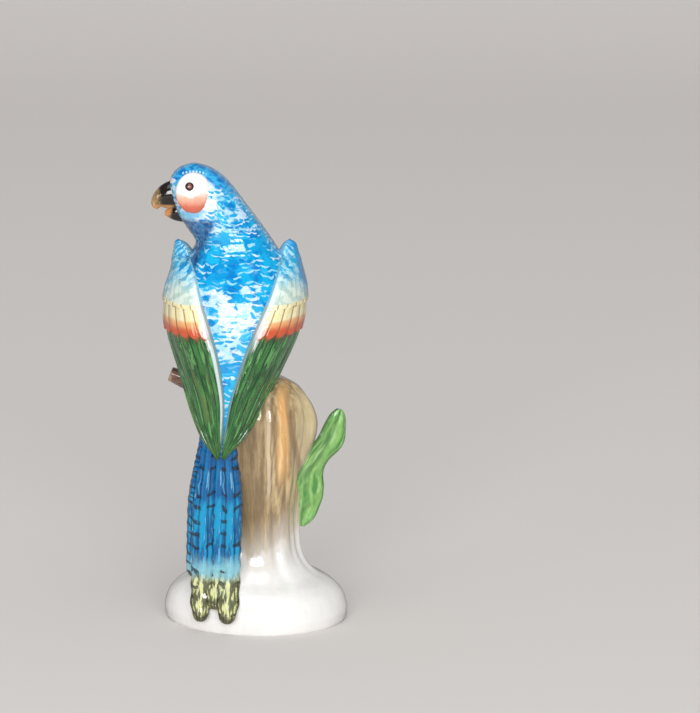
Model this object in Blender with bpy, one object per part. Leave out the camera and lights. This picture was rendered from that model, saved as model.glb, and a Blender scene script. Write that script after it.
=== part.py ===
"""A glazed porcelain parrot perched on a tree stump, slip-cast and luted into one piece.

The bird stands with its back to -Y and turns its head to its left, towards -X. The stump grows
out of an oval mound whose ground foot ring rests on Z = 0. Everything is in metres.
"""

import math

import bmesh
import bpy
from mathutils import Matrix, Vector

MM = 0.001

# The casting
WALL = 3.2 * MM
VENT_RADIUS = 1.8 * MM
FOOT_RING_WIDTH = 3.5 * MM
FOOT_RECESS = 1.6 * MM
NECK_HOLLOW_TOP = 50 * MM

# The mound and the stump
MOUND_HALF_LENGTH = 28.0 * MM
MOUND_HALF_WIDTH = 25.0 * MM
MOUND_TURN = math.radians(-22)
MOUND_EDGE_HEIGHT = 4.2 * MM
MOUND_HEIGHT = 14.0 * MM
STUMP_RADIUS = 12.6 * MM
STUMP_CROWN_RADIUS = 14.5 * MM
STUMP_CROWN_LEAN = 2.0 * MM
STUMP_HEIGHT = 74.0 * MM
BARK_RIDGES = 9
BARK_DEPTH = 0.9 * MM
LIMB_RADIUS = 5.6 * MM

# The broken branch that the bird grips
BRANCH_REACH = 25.6 * MM
BRANCH_RADIUS = 3.6 * MM
BRANCH_END_RADIUS = 2.1 * MM

# The leaf
LEAF_LENGTH = 36.0 * MM
LEAF_THICKNESS = 1.9 * MM
LEAF_WAVE = 0.8 * MM
LEAF_TROUGH = 0.8 * MM
LEAF_BASE_HEIGHT = 27.6 * MM

# The bird
BIRD_LEAN = -7.1 * MM
BODY_HALF_WIDTH = 17.5 * MM
BODY_HALF_DEPTH = 17.2 * MM
HEAD_TURN = 10.0 * MM
CROWN_ABOVE_PERCH = 64.8 * MM
WING_BULGE = 7.6 * MM
WING_STEP = 1.0 * MM
WING_INNER_POINTS = 3
FEATHERS_ACROSS = 8
COVERT_RELIEF = 0.5 * MM
FLIGHT_FEATHER_RELIEF = 0.8 * MM
CHEEK_HALF_LENGTH = 5.4 * MM
CHEEK_HALF_HEIGHT = 6.1 * MM
CHEEK_TILT = math.radians(12)
EYE_RADIUS = 1.35 * MM
BEAK_WIDTH = 6.6 * MM
BEAK_DEPTH = 9.4 * MM

# The tail
TAIL_FEATHER_WIDTH = 6.6 * MM
TAIL_FEATHER_THICKNESS = 4.0 * MM
TAIL_QUILL = 0.5 * MM
TAIL_TIP_HEIGHT = 3.4 * MM
TAIL_BED_HALF_WIDTH = 6.4 * MM
TAIL_BED_SHIFT = 0.8 * MM
TAIL_BED_RISE = 6.5 * MM

BODY_SEGMENTS = 30
BODY_RINGS = 28
STUMP_SEGMENTS = 40
STUMP_RINGS = 24


def smooth_row(rows, t):
    """The row at t, from 0 to len(rows) - 1, on a Catmull-Rom curve through all the rows."""
    last = len(rows) - 1
    i = min(int(t), last - 1)
    f = t - i
    p, q, r, s = (rows[max(0, min(last, k))] for k in (i - 1, i, i + 1, i + 2))
    weights = (
        (2 * f**2 - f - f**3) / 2,
        (2 - 5 * f**2 + 3 * f**3) / 2,
        (f + 4 * f**2 - 3 * f**3) / 2,
        (f**3 - f**2) / 2,
    )
    return [sum(w * v for w, v in zip(weights, values)) for values in zip(p, q, r, s)]


def row_at_height(rows, height):
    """The smooth row whose first value is this height; the heights rise from row to row."""
    low, high = 0.0, len(rows) - 1.0
    for _ in range(30):
        middle = (low + high) / 2
        if smooth_row(rows, middle)[0] < height:
            low = middle
        else:
            high = middle
    return smooth_row(rows, (low + high) / 2)


def spread(count):
    return [i / (count - 1) for i in range(count)]


def ease(low, high, value):
    """0 up to low, 1 from high, and a smooth ramp between."""
    t = max(0.0, min(1.0, (value - low) / (high - low)))
    return t * t * (3 - 2 * t)


def glaze(name, colour, roughness=0.12):
    """A painted and glazed surface."""
    material = bpy.data.materials.new(name)
    material.use_nodes = True
    shader = material.node_tree.nodes["Principled BSDF"]
    shader.inputs["Base Color"].default_value = (*colour, 1)
    shader.inputs["Roughness"].default_value = roughness
    shader.inputs["Metallic"].default_value = 0
    return material


def add_object(name, mesh, material, collection):
    thing = bpy.data.objects.new(name, mesh)
    collection.objects.link(thing)
    mesh.materials.clear()
    mesh.materials.append(material)
    mesh.shade_smooth()
    mesh.set_sharp_from_angle(angle=math.radians(50))
    return thing


def loft(name, rings, material, collection):
    """A closed skin through a stack of rings with equal counts, its ends closed by low fans."""
    shape = bmesh.new()
    loops = [[shape.verts.new(point) for point in ring] for ring in rings]
    for lower, upper in zip(loops, loops[1:]):
        for i in range(len(lower)):
            j = (i + 1) % len(lower)
            shape.faces.new((lower[i], lower[j], upper[j], upper[i]))
    ends = [shape.faces.new(loops[0][::-1]), shape.faces.new(loops[-1])]
    bmesh.ops.poke(shape, faces=ends)
    bmesh.ops.triangulate(shape, faces=shape.faces)
    bmesh.ops.recalc_face_normals(shape, faces=shape.faces)
    mesh = bpy.data.meshes.new(name)
    shape.to_mesh(mesh)
    shape.free()
    return add_object(name, mesh, material, collection)


def tapered_rod(name, stations, material, collection, resolution=2):
    """A bent round rod through (point, radius) stations, made a mesh so that it can be joined."""
    curve = bpy.data.curves.new(name, "CURVE")
    curve.dimensions = "3D"
    curve.bevel_depth = 1.0
    curve.bevel_resolution = resolution
    curve.resolution_u = 3
    curve.use_fill_caps = True
    line = curve.splines.new("BEZIER")
    line.bezier_points.add(len(stations) - 1)
    for knot, (point, radius) in zip(line.bezier_points, stations):
        knot.co = point
        knot.radius = radius
        knot.handle_left_type = knot.handle_right_type = "AUTO"
    guide = bpy.data.objects.new(name, curve)
    collection.objects.link(guide)
    graph = bpy.context.evaluated_depsgraph_get()
    mesh = bpy.data.meshes.new_from_object(guide.evaluated_get(graph))
    bpy.data.objects.remove(guide)
    shape = bmesh.new()
    shape.from_mesh(mesh)
    bmesh.ops.remove_doubles(shape, verts=shape.verts, dist=0.01 * MM)
    bmesh.ops.triangulate(shape, faces=shape.faces)
    bmesh.ops.recalc_face_normals(shape, faces=shape.faces)
    shape.to_mesh(mesh)
    shape.free()
    return add_object(name, mesh, material, collection)


def ball(name, centre, radii, turn, material, collection, segments=16, rings=8):
    """A squashed ball with its radii along its own axes, turned and set at its centre."""
    shape = bmesh.new()
    bmesh.ops.create_uvsphere(shape, u_segments=segments, v_segments=rings, radius=1)
    place = Matrix.Translation(centre) @ turn.to_4x4() @ Matrix.Diagonal((*radii, 1))
    bmesh.ops.transform(shape, matrix=place, verts=shape.verts)
    mesh = bpy.data.meshes.new(name)
    shape.to_mesh(mesh)
    shape.free()
    return add_object(name, mesh, material, collection)


# The mound and stump: one turned and fluted form, wide at the foot

# Height, mound share from 1 to 0, stump radius, bark depth share and lean share
STUMP_ROWS = [
    (0.0, 0.965, STUMP_RADIUS, 0.0, 0.0),
    (MOUND_EDGE_HEIGHT * 0.3, 0.993, STUMP_RADIUS, 0.0, 0.0),
    (MOUND_EDGE_HEIGHT, 1.0, STUMP_RADIUS, 0.0, 0.0),
    (MOUND_HEIGHT * 0.58, 0.90, STUMP_RADIUS, 0.05, 0.0),
    (MOUND_HEIGHT * 0.82, 0.67, STUMP_RADIUS, 0.15, 0.0),
    (MOUND_HEIGHT, 0.37, STUMP_RADIUS, 0.3, 0.0),
    (MOUND_HEIGHT + 3.5 * MM, 0.14, STUMP_RADIUS, 0.5, 0.0),
    (MOUND_HEIGHT + 9 * MM, 0.02, STUMP_RADIUS, 0.75, 0.0),
    (STUMP_HEIGHT * 0.45, 0.0, STUMP_RADIUS, 1.0, 0.1),
    (STUMP_HEIGHT * 0.66, 0.0, STUMP_RADIUS + 0.5 * (STUMP_CROWN_RADIUS - STUMP_RADIUS), 1.0, 0.6),
    (STUMP_HEIGHT * 0.83, 0.0, STUMP_CROWN_RADIUS, 0.9, 1.0),
    (STUMP_HEIGHT * 0.93, 0.0, STUMP_CROWN_RADIUS * 0.87, 0.6, 1.0),
    (STUMP_HEIGHT * 0.985, 0.0, STUMP_CROWN_RADIUS * 0.55, 0.3, 1.0),
    (STUMP_HEIGHT, 0.0, STUMP_CROWN_RADIUS * 0.2, 0.0, 1.0),
]


def mound_radius(angle):
    """The oval foot's radius in this direction."""
    along = math.cos(angle - MOUND_TURN) / MOUND_HALF_LENGTH
    across = math.sin(angle - MOUND_TURN) / MOUND_HALF_WIDTH
    return 1 / math.hypot(along, across)


def bark(angle, height):
    """Ridges of uneven width that wander a little up the stump, from -1 to 1."""
    drift = 0.5 * math.sin(height / (17 * MM))
    broad = math.cos(BARK_RIDGES * angle + drift)
    fine = math.cos((BARK_RIDGES + 6) * angle - 2 * drift + 1.0)
    return 0.65 * broad + 0.35 * fine


def stump_point(row, angle, inset=0.0):
    height, mound_share, radius, bark_share, lean_share = row
    reach = radius + (mound_radius(angle) - radius) * mound_share - inset
    if not inset:
        reach += BARK_DEPTH * bark_share * bark(angle, height)
    centre = STUMP_CROWN_LEAN * lean_share
    return Vector((centre + reach * math.cos(angle), reach * math.sin(angle), height))


def circle_angles(count):
    return [2 * math.pi * i / count for i in range(count)]


def make_stump(material, collection):
    last = len(STUMP_ROWS) - 1
    rows = [smooth_row(STUMP_ROWS, t * last) for t in spread(STUMP_RINGS)]
    rings = [[stump_point(row, a) for a in circle_angles(STUMP_SEGMENTS)] for row in rows]
    return loft("parrot_figurine", rings, material, collection)


def front_of_mound(x, height):
    """How far the mound or stump reaches towards -Y at this height, above or below x."""
    row = row_at_height(STUMP_ROWS, height)
    steps = [math.radians(-150 + 3 * i) for i in range(41)]
    nearest = min((stump_point(row, a) for a in steps), key=lambda p: abs(p.x - x))
    return nearest.y


def make_limbs(material, collection):
    """Two rounded limbs that swell over the stump's right shoulder and melt into it below."""
    top = STUMP_HEIGHT
    outer = [
        (Vector((4 * MM, -1 * MM, top - 3 * MM)), LIMB_RADIUS * 0.6),
        (Vector((9.5 * MM, -2 * MM, top - 6 * MM)), LIMB_RADIUS * 0.85),
        (Vector((13.2 * MM, -2.5 * MM, top - 14 * MM)), LIMB_RADIUS),
        (Vector((10.8 * MM, -2.5 * MM, top - 25 * MM)), LIMB_RADIUS * 0.8),
        (Vector((8.0 * MM, -2 * MM, top - 36 * MM)), LIMB_RADIUS * 0.5),
    ]
    inner = [
        (Vector((2 * MM, -4 * MM, top - 6 * MM)), LIMB_RADIUS * 0.6),
        (Vector((4.6 * MM, -8 * MM, top - 10 * MM)), LIMB_RADIUS * 0.8),
        (Vector((5.2 * MM, -8.6 * MM, top - 20 * MM)), LIMB_RADIUS * 0.9),
        (Vector((5.0 * MM, -7.2 * MM, top - 34 * MM)), LIMB_RADIUS * 0.9),
        (Vector((4.4 * MM, -4.4 * MM, top - 50 * MM)), LIMB_RADIUS * 0.8),
    ]
    tapered_rod("outer_limb", outer, material, collection)
    tapered_rod("inner_limb", inner, material, collection)


def make_branch(material, collection):
    """The broken branch that leaves the stump's crown under the bird and ends in a cut face."""
    height = STUMP_HEIGHT - 5 * MM
    stations = [
        (Vector((3 * MM, 3 * MM, height - 1 * MM)), BRANCH_RADIUS * 1.3),
        (Vector((-9 * MM, 4 * MM, height - 0.5 * MM)), BRANCH_RADIUS * 1.1),
        (Vector((-BRANCH_REACH * 0.7, 4.5 * MM, height + 1.8 * MM)), BRANCH_RADIUS * 0.85),
        (Vector((-BRANCH_REACH, 4.5 * MM, height + 4.8 * MM)), BRANCH_END_RADIUS),
    ]
    tapered_rod("branch", stations, material, collection)


# Share of the leaf's length, middle's X and Y, half width across X, and how far it turns into Y
LEAF_ROWS = [
    (0.0, 13.6 * MM, 0.6 * MM, 0.7 * MM, 0.4 * MM),
    (0.11, 14.5 * MM, 0.2 * MM, 3.4 * MM, 1.4 * MM),
    (0.24, 15.7 * MM, -0.4 * MM, 4.4 * MM, 2.2 * MM),
    (0.36, 15.7 * MM, -0.8 * MM, 4.3 * MM, 2.8 * MM),
    (0.46, 16.2 * MM, -0.8 * MM, 4.0 * MM, 3.2 * MM),
    (0.58, 18.7 * MM, -0.5 * MM, 3.6 * MM, 3.4 * MM),
    (0.71, 21.7 * MM, 0.0, 3.8 * MM, 3.2 * MM),
    (0.82, 23.5 * MM, 0.4 * MM, 3.7 * MM, 2.6 * MM),
    (0.91, 24.8 * MM, 0.8 * MM, 2.6 * MM, 1.6 * MM),
    (0.97, 25.2 * MM, 1.0 * MM, 1.4 * MM, 0.8 * MM),
    (1.0, 25.4 * MM, 1.0 * MM, 0.6 * MM, 0.3 * MM),
]


def make_leaf(material, collection):
    """A long leaf with a grooved midrib and a waved edge, luted on along the stump's right side."""
    rings = []
    for t in spread(16):
        along, x, y, half, turn = smooth_row(LEAF_ROWS, t * (len(LEAF_ROWS) - 1))
        middle = Vector((x, y, LEAF_BASE_HEIGHT + LEAF_LENGTH * along))
        facing = Vector((turn, -half, 0)).normalized()
        front, back = [], []
        for s in spread(7):
            across = 2 * s - 1
            wave = LEAF_WAVE * across**2 * math.sin(6.0 * math.pi * along + 0.8 * across)
            trough = LEAF_TROUGH * (1 - abs(across)) ** 2
            thick = LEAF_THICKNESS * (0.4 + 0.6 * math.sqrt(1 - across**2)) / 2
            point = middle + Vector((across * half, across * turn, -0.3 * across * half))
            point += facing * min(1.0, half / (2 * MM)) * (wave - trough)
            front.append(point + facing * thick)
            back.append(point - facing * thick)
        rings.append(front + back[::-1])
    loft("leaf", rings, material, collection)


# The bird's trunk, neck and head: one skin from the root of the tail to the crown

PERCH = STUMP_HEIGHT
CROWN = PERCH + CROWN_ABOVE_PERCH

# Height over the perch, sideways shift, middle's Y, half width, half depth
BODY_ROWS = [
    (-27 * MM, -3.4 * MM, -12.5 * MM, 3.2 * MM, 2.4 * MM),
    (-20 * MM, -2.8 * MM, -12.8 * MM, 4.6 * MM, 4.4 * MM),
    (-12 * MM, -1.8 * MM, -10.6 * MM, 7.8 * MM, 7.8 * MM),
    (-4 * MM, -0.9 * MM, -6.5 * MM, BODY_HALF_WIDTH * 0.66, BODY_HALF_DEPTH * 0.71),
    (6 * MM, 0.0, -2.5 * MM, BODY_HALF_WIDTH * 0.92, BODY_HALF_DEPTH * 0.92),
    (16 * MM, 0.7 * MM, -0.5 * MM, BODY_HALF_WIDTH, BODY_HALF_DEPTH),
    (25 * MM, 1.3 * MM, 0.8 * MM, BODY_HALF_WIDTH * 1.005, BODY_HALF_DEPTH * 0.975),
    (32 * MM, 1.7 * MM, 1.8 * MM, BODY_HALF_WIDTH * 0.94, BODY_HALF_DEPTH * 0.85),
    (37 * MM, 1.4 * MM, 2.2 * MM, BODY_HALF_WIDTH * 0.78, BODY_HALF_DEPTH * 0.73),
    (41 * MM, HEAD_TURN * 0.10, 2.2 * MM, 11.5 * MM, 11.2 * MM),
    (45 * MM, -HEAD_TURN * 0.15, 1.8 * MM, 11.3 * MM, 10.6 * MM),
    (49 * MM, -HEAD_TURN * 0.42, 1.3 * MM, 11.2 * MM, 10.2 * MM),
    (53 * MM, -HEAD_TURN * 0.64, 0.9 * MM, 10.5 * MM, 9.8 * MM),
    (57 * MM, -HEAD_TURN * 0.84, 0.6 * MM, 9.6 * MM, 9.0 * MM),
    (CROWN_ABOVE_PERCH - 4.2 * MM, -HEAD_TURN * 0.98, 0.4 * MM, 7.9 * MM, 7.5 * MM),
    (CROWN_ABOVE_PERCH - 1.4 * MM, -HEAD_TURN * 1.06, 0.2 * MM, 4.9 * MM, 4.8 * MM),
    (CROWN_ABOVE_PERCH, -HEAD_TURN * 1.08, 0.2 * MM, 1.2 * MM, 1.2 * MM),
]
BODY_SQUARENESS = 2.3


def midline(height):
    """The X of the bird's middle plane at this height."""
    return BIRD_LEAN + row_at_height(BODY_ROWS, height - PERCH)[1]


def body_point(row, angle, inset=0.0):
    over_perch, shift, middle, half_width, half_depth = row
    round_part = abs(math.cos(angle)) ** BODY_SQUARENESS + abs(math.sin(angle)) ** BODY_SQUARENESS
    reach = round_part ** (-1 / BODY_SQUARENESS)
    x = BIRD_LEAN + shift + (half_width - inset) * reach * math.cos(angle)
    y = middle + (half_depth - inset) * reach * math.sin(angle)
    return Vector((x, y, PERCH + over_perch))


def back_of_body(height, aside):
    """The Y of the bird's back at this height, this far from its middle plane."""
    _, _, middle, half_width, half_depth = row_at_height(BODY_ROWS, height - PERCH)
    share = min(1.0, aside / half_width) ** BODY_SQUARENESS
    return middle - half_depth * (1 - share) ** (1 / BODY_SQUARENESS)


def make_body(material, collection):
    last = len(BODY_ROWS) - 1
    rows = [smooth_row(BODY_ROWS, t * last) for t in spread(BODY_RINGS)]
    rings = [[body_point(row, a) for a in circle_angles(BODY_SEGMENTS)] for row in rows]
    loft("body_and_head", rings, material, collection)


# The folded wings: each a thick leaf round the body's side, drawn out to a point over the tail

# Inner edge: height over the perch and distance aside. Leading edge: height, aside, Y. Bulge share
WING_ROWS = [
    (41.3 * MM, 16.2 * MM, 41.3 * MM, 16.8 * MM, 3.0 * MM, 0.04),
    (40.9 * MM, 15.7 * MM, 40.9 * MM, 16.9 * MM, 3.6 * MM, 0.18),
    (39.8 * MM, 15.1 * MM, 40.0 * MM, 16.9 * MM, 5.0 * MM, 0.29),
    (37.0 * MM, 14.0 * MM, 37.6 * MM, 16.8 * MM, 7.5 * MM, 0.42),
    (32.0 * MM, 12.4 * MM, 32.8 * MM, 16.9 * MM, 10.0 * MM, 0.62),
    (25.5 * MM, 10.4 * MM, 26.0 * MM, 16.9 * MM, 11.0 * MM, 0.88),
    (19.0 * MM, 7.9 * MM, 19.0 * MM, 16.7 * MM, 10.5 * MM, 1.0),
    (12.0 * MM, 5.3 * MM, 12.0 * MM, 15.6 * MM, 8.0 * MM, 0.98),
    (4.0 * MM, 3.1 * MM, 4.0 * MM, 13.2 * MM, 2.5 * MM, 0.84),
    (-4.0 * MM, 1.4 * MM, -3.5 * MM, 11.2 * MM, -3.8 * MM, 0.66),
    (-12.0 * MM, 0.7 * MM, -10.5 * MM, 8.4 * MM, -9.8 * MM, 0.48),
    (-18.0 * MM, 0.3 * MM, -16.5 * MM, 5.4 * MM, -15.0 * MM, 0.28),
    (-21.5 * MM, 0.1 * MM, -20.7 * MM, 2.0 * MM, -18.3 * MM, 0.12),
]
WING_TIP_BACK = -20.4 * MM

# Share of the wing's length where a row of feathers ends and lies over the next one
COVERT_ENDS = [0.44, 0.542]
COVERT_SCALLOP = 0.022
FEATHER_PHASES = (0.05, 0.5, 0.95)


def wing_stations():
    """Rings along the wing, with a close pair at each step from one row of feathers to the next."""
    first, second = COVERT_ENDS
    step = 0.006
    upper = [0, 0.03, 0.07, 0.11, 0.16, 0.21, 0.27, 0.33, 0.38, first - 3 * step]
    middle = [first - step, first + step, first + 0.035, first + 0.07]
    lower = [second - step, second + step, 0.58, 0.62, 0.66, 0.71, 0.76, 0.80, 0.84, 0.88, 0.92]
    return upper + middle + lower + [0.96, 1.0]


def scalloped(along, phase):
    """Feather ends are rounded: rings near a row's end follow its scallops."""
    lobe = math.sin(math.pi * phase) - 0.6
    pull = sum(max(0.0, 1 - abs(along - end) / 0.08) for end in COVERT_ENDS)
    return along + COVERT_SCALLOP * lobe * pull


def wing_relief(phase, along):
    """How far a feather stands out of the wing's smooth surface here."""
    first, second = COVERT_ENDS
    crown = math.sin(math.pi * phase)
    if along < first:
        return COVERT_RELIEF * (0.3 + 1.7 * ease(first - 0.12, first, along))
    if along < second:
        return COVERT_RELIEF * (0.5 + 0.5 * crown + ease(first, second, along))
    fade = 1 - ease(0.86, 0.98, along)
    return FLIGHT_FEATHER_RELIEF * (1 - phase) * fade


def wing_ring(side, along):
    """One closed section of a wing, from its inner edge over the outside and back underneath."""
    steps = [(0.0, 0.5)]
    for k in range(FEATHERS_ACROSS):
        steps += [((k + phase) / FEATHERS_ACROSS, phase) for phase in FEATHER_PHASES]
    steps.append((1.0, 0.5))
    ring = []
    for s, phase in steps:
        edge = math.sin(math.pi * s) ** 0.4 if 0 < s < 1 else 0.0
        here = along + (scalloped(along, phase) - along) * edge
        inner, chord, out, bulge, _ = wing_frame(side, here)
        lift = bulge * math.sin(math.pi * s) + edge * wing_relief(phase, along)
        ring.append(inner + chord * (1 - math.cos(math.pi * s)) / 2 + out * lift)
    inner, chord, out, bulge, thin = wing_frame(side, along)
    for s in spread(WING_INNER_POINTS + 2)[1:-1][::-1]:
        depth = (1.6 * MM + 0.35 * bulge) * math.sin(math.pi * s) * thin
        ring.append(inner + chord * (1 - math.cos(math.pi * s)) / 2 - out * depth)
    return ring


def wing_frame(side, along):
    """The inner edge, the chord to the leading edge, the way out, the bulge and a thinning share."""
    row = smooth_row(WING_ROWS, along * (len(WING_ROWS) - 1))
    inner_height, inner_aside, lead_height, lead_aside, lead_y, bulge_share = row
    inner_height += PERCH
    lead_height += PERCH
    inner_y = max(back_of_body(inner_height, inner_aside) - WING_STEP, WING_TIP_BACK)
    inner = Vector((midline(inner_height) + side * inner_aside, inner_y, inner_height))
    lead = Vector((midline(lead_height) + side * lead_aside, lead_y, lead_height))
    chord = lead - inner
    out = Vector((side * abs(chord.y), -abs(chord.x), 0)).normalized()
    return inner, chord, out, WING_BULGE * bulge_share, min(1.0, bulge_share * 2.5)


def make_wing(side, name, material, collection):
    rings = [wing_ring(side, t) for t in wing_stations()]
    loft(name, rings, material, collection)


# The tail: long narrow feathers laid side by side down the stump and out over the mound

# Distance aside, share of the tail's length, width share, depth under the top feathers, root drop
TAIL_FEATHERS = [
    ("tail_middle", 0.3 * MM, 0.935, 1.1, 1.3 * MM, 1.2 * MM),
    ("tail_left_third", -6.6 * MM, 0.42, 0.66, 1.2 * MM, 1.9 * MM),
    ("tail_left_second", -6.9 * MM, 0.62, 0.62, 1.7 * MM, 2.6 * MM),
    ("tail_left_first", -7.1 * MM, 0.80, 0.6, 2.3 * MM, 3.4 * MM),
    ("tail_right_second", 5.5 * MM, 0.66, 0.62, 1.5 * MM, 2.2 * MM),
    ("tail_right_first", 5.2 * MM, 0.83, 0.66, 2.1 * MM, 3.0 * MM),
    ("tail_left_long", -4.1 * MM, 1.0, 1.0, 0.0, 0.0),
    ("tail_right_long", 3.9 * MM, 0.995, 1.04, 0.3 * MM, 0.6 * MM),
]
TAIL_ROOT_HEIGHT = PERCH - 11 * MM
TAIL_ROOT_X = BIRD_LEAN - 3.2 * MM
TAIL_TIP_X = BIRD_LEAN - 5.0 * MM
TAIL_ROOT_Y = -15.5 * MM


def tail_point(height, aside, under):
    """The middle of a feather's thickness: down the stump, then out over the mound."""
    down = (TAIL_ROOT_HEIGHT - height) / (TAIL_ROOT_HEIGHT - TAIL_TIP_HEIGHT)
    spread_out = 0.6 + 0.4 * ease(0.0, 0.45, down)
    x = TAIL_ROOT_X + (TAIL_TIP_X - TAIL_ROOT_X) * down + aside * spread_out
    straight = TAIL_ROOT_Y - 1.0 * MM * down
    resting = front_of_mound(x, height)
    proud = 0.35 + 0.25 * ease(0.85, 0.97, down)
    lifted = resting - TAIL_FEATHER_THICKNESS * proud + under * 0.5
    return Vector((x, min(straight + under, lifted), height))


TAIL_STATIONS = [0, 0.14, 0.30, 0.45, 0.58, 0.70, 0.82, 0.90, 0.94, 0.975, 1.0]
TAIL_ROUNDING = 0.12


def make_tail_feather(feather, material, collection):
    name, aside, length_share, width_share, under, root_drop = feather
    root_height = TAIL_ROOT_HEIGHT - root_drop
    tip_height = TAIL_ROOT_HEIGHT - (TAIL_ROOT_HEIGHT - TAIL_TIP_HEIGHT) * length_share
    around = 10
    rings = []
    for t in TAIL_STATIONS:
        into_tip = max(0.0, 1 - (1 - t) / TAIL_ROUNDING)
        rounding = max(0.3, math.sqrt(1 - into_tip**2.2))
        grow = 0.75 + 0.25 * ease(0.0, 0.5, t)
        half = rounding * TAIL_FEATHER_WIDTH * width_share * grow / 2
        thick = rounding * TAIL_FEATHER_THICKNESS * (0.8 + 0.2 * width_share) / 2
        height = root_height + (tip_height - root_height) * t
        centre = tail_point(height, aside, under)
        ring = []
        for i in range(around):
            angle = 2 * math.pi * i / around - math.pi / 2
            quill = TAIL_QUILL * max(0.0, -math.sin(angle)) ** 6
            x = half * math.cos(angle)
            y = thick * math.sin(angle) - quill * rounding
            ring.append(centre + Vector((x, y, 0)))
        rings.append(ring)
    loft(name, rings, material, collection)


def make_tail_bed(material, collection):
    """The web of clay that carries the tail along the stump, hidden behind the feathers."""
    low = TAIL_TIP_HEIGHT + TAIL_BED_RISE
    rings = []
    for t in spread(7):
        height = low + (TAIL_ROOT_HEIGHT - 3 * MM - low) * t
        outside = tail_point(height, 0.0, 0.0)
        front = outside.y - TAIL_FEATHER_THICKNESS * 0.1
        back = -STUMP_RADIUS * 0.35
        middle = Vector((outside.x + TAIL_BED_SHIFT, (front + back) / 2, height))
        ring = []
        for angle in circle_angles(14):
            c = math.cos(angle)
            s = math.sin(angle)
            x = TAIL_BED_HALF_WIDTH * math.copysign(abs(c) ** 0.6, c)
            y = (back - front) / 2 * math.copysign(abs(s) ** 0.6, s)
            ring.append(middle + Vector((x, y, 0)))
        rings.append(ring)
    loft("tail_bed", rings, material, collection)


# The face: a raised bare cheek with an eye on either side, and a hooked beak in two halves

FACE_HEIGHT = CROWN - 7.2 * MM
BEAK_BELOW_FACE = 0.6 * MM
FACE_TURN = Matrix.Rotation(math.radians(8), 3, "Z")


def make_face(skin, pupil, collection):
    head = row_at_height(BODY_ROWS, FACE_HEIGHT - PERCH)
    centre = Vector((BIRD_LEAN + head[1], head[2], FACE_HEIGHT))
    for side, name in ((-1, "near"), (1, "far")):
        outward = Vector((-3.2 * MM, side * (head[4] - 1.4 * MM), -0.4 * MM))
        cheek = centre + FACE_TURN @ outward
        turn = FACE_TURN @ Matrix.Rotation(side * CHEEK_TILT, 3, "X")
        radii = (CHEEK_HALF_LENGTH, 2.4 * MM, CHEEK_HALF_HEIGHT)
        ball(f"{name}_cheek", cheek, radii, turn, skin, collection)
        eye = cheek + turn @ Vector((-1.4 * MM, side * 2.0 * MM, 1.8 * MM))
        size = (EYE_RADIUS, EYE_RADIUS * 0.7, EYE_RADIUS)
        ball(f"{name}_eye", eye, size, turn, pupil, collection, 10, 6)


def make_beak(material, collection):
    """Each half is a tapered and bent horn, narrower than it is tall."""
    head = row_at_height(BODY_ROWS, FACE_HEIGHT - PERCH)
    root = Vector((BIRD_LEAN + head[1] - 5.4 * MM, head[2], FACE_HEIGHT - BEAK_BELOW_FACE))
    upper = [
        (Vector((0.5 * MM, 0, -1.6 * MM)), 5.0 * MM),
        (Vector((-3.6 * MM, 0, -1.9 * MM)), 4.4 * MM),
        (Vector((-6.3 * MM, 0, -2.9 * MM)), 3.4 * MM),
        (Vector((-7.9 * MM, 0, -4.2 * MM)), 2.1 * MM),
        (Vector((-8.4 * MM, 0, -5.8 * MM)), 0.6 * MM),
    ]
    lower = [
        (Vector((0.8 * MM, 0, -7.0 * MM)), 3.2 * MM),
        (Vector((-2.6 * MM, 0, -7.2 * MM)), 2.3 * MM),
        (Vector((-5.6 * MM, 0, -7.1 * MM)), 0.7 * MM),
    ]
    for name, stations in (("upper_beak", upper), ("lower_beak", lower)):
        half = tapered_rod(name, stations, material, collection)
        narrow = Matrix.Diagonal((1, BEAK_WIDTH / BEAK_DEPTH, 1, 1))
        half.data.transform(Matrix.Translation(root) @ FACE_TURN.to_4x4() @ narrow)


# The feet: two thighs that come down on the branch and three toes of each round its front

def make_feet(thigh_paint, toe_paint, collection):
    grip = STUMP_HEIGHT - 4 * MM
    for side, name in ((-1, "left"), (1, "right")):
        x = BIRD_LEAN + side * 6.0 * MM
        thigh = [
            (Vector((x, 5 * MM, PERCH + 14 * MM)), 6.5 * MM),
            (Vector((x, 7.6 * MM, PERCH + 5 * MM)), 5.4 * MM),
            (Vector((x, 6.8 * MM, grip + 0.4 * MM)), 2.8 * MM),
        ]
        tapered_rod(f"{name}_thigh", thigh, thigh_paint, collection, 1)
        for toe, size in ((-1, 0.92), (0, 1.12), (1, 1.0)):
            spread_x = x + toe * 2.4 * MM
            reach = 8.4 * MM * size**0.3
            claw = [
                (Vector((x + toe * 0.8 * MM, 6.6 * MM, grip + 1.2 * MM)), 2.0 * MM * size),
                (Vector((spread_x, reach, grip + 0.2 * MM)), 1.6 * MM * size),
                (Vector((spread_x * 1.02, reach - 1.8 * MM, grip - 2.4 * MM * size)), 0.9 * MM),
            ]
            number = toe + 2
            tapered_rod(f"{name}_toe_{number}", claw, toe_paint, collection, 1)


# The hollow that slip casting leaves, the firing vent and the recess inside the foot ring

def make_vent(material, collection):
    shape = bmesh.new()
    bmesh.ops.create_cone(
        shape,
        cap_ends=True,
        segments=16,
        radius1=VENT_RADIUS,
        radius2=VENT_RADIUS,
        depth=MOUND_HEIGHT * 2,
    )
    mesh = bpy.data.meshes.new("vent")
    shape.to_mesh(mesh)
    shape.free()
    add_object("vent", mesh, material, collection)


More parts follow.
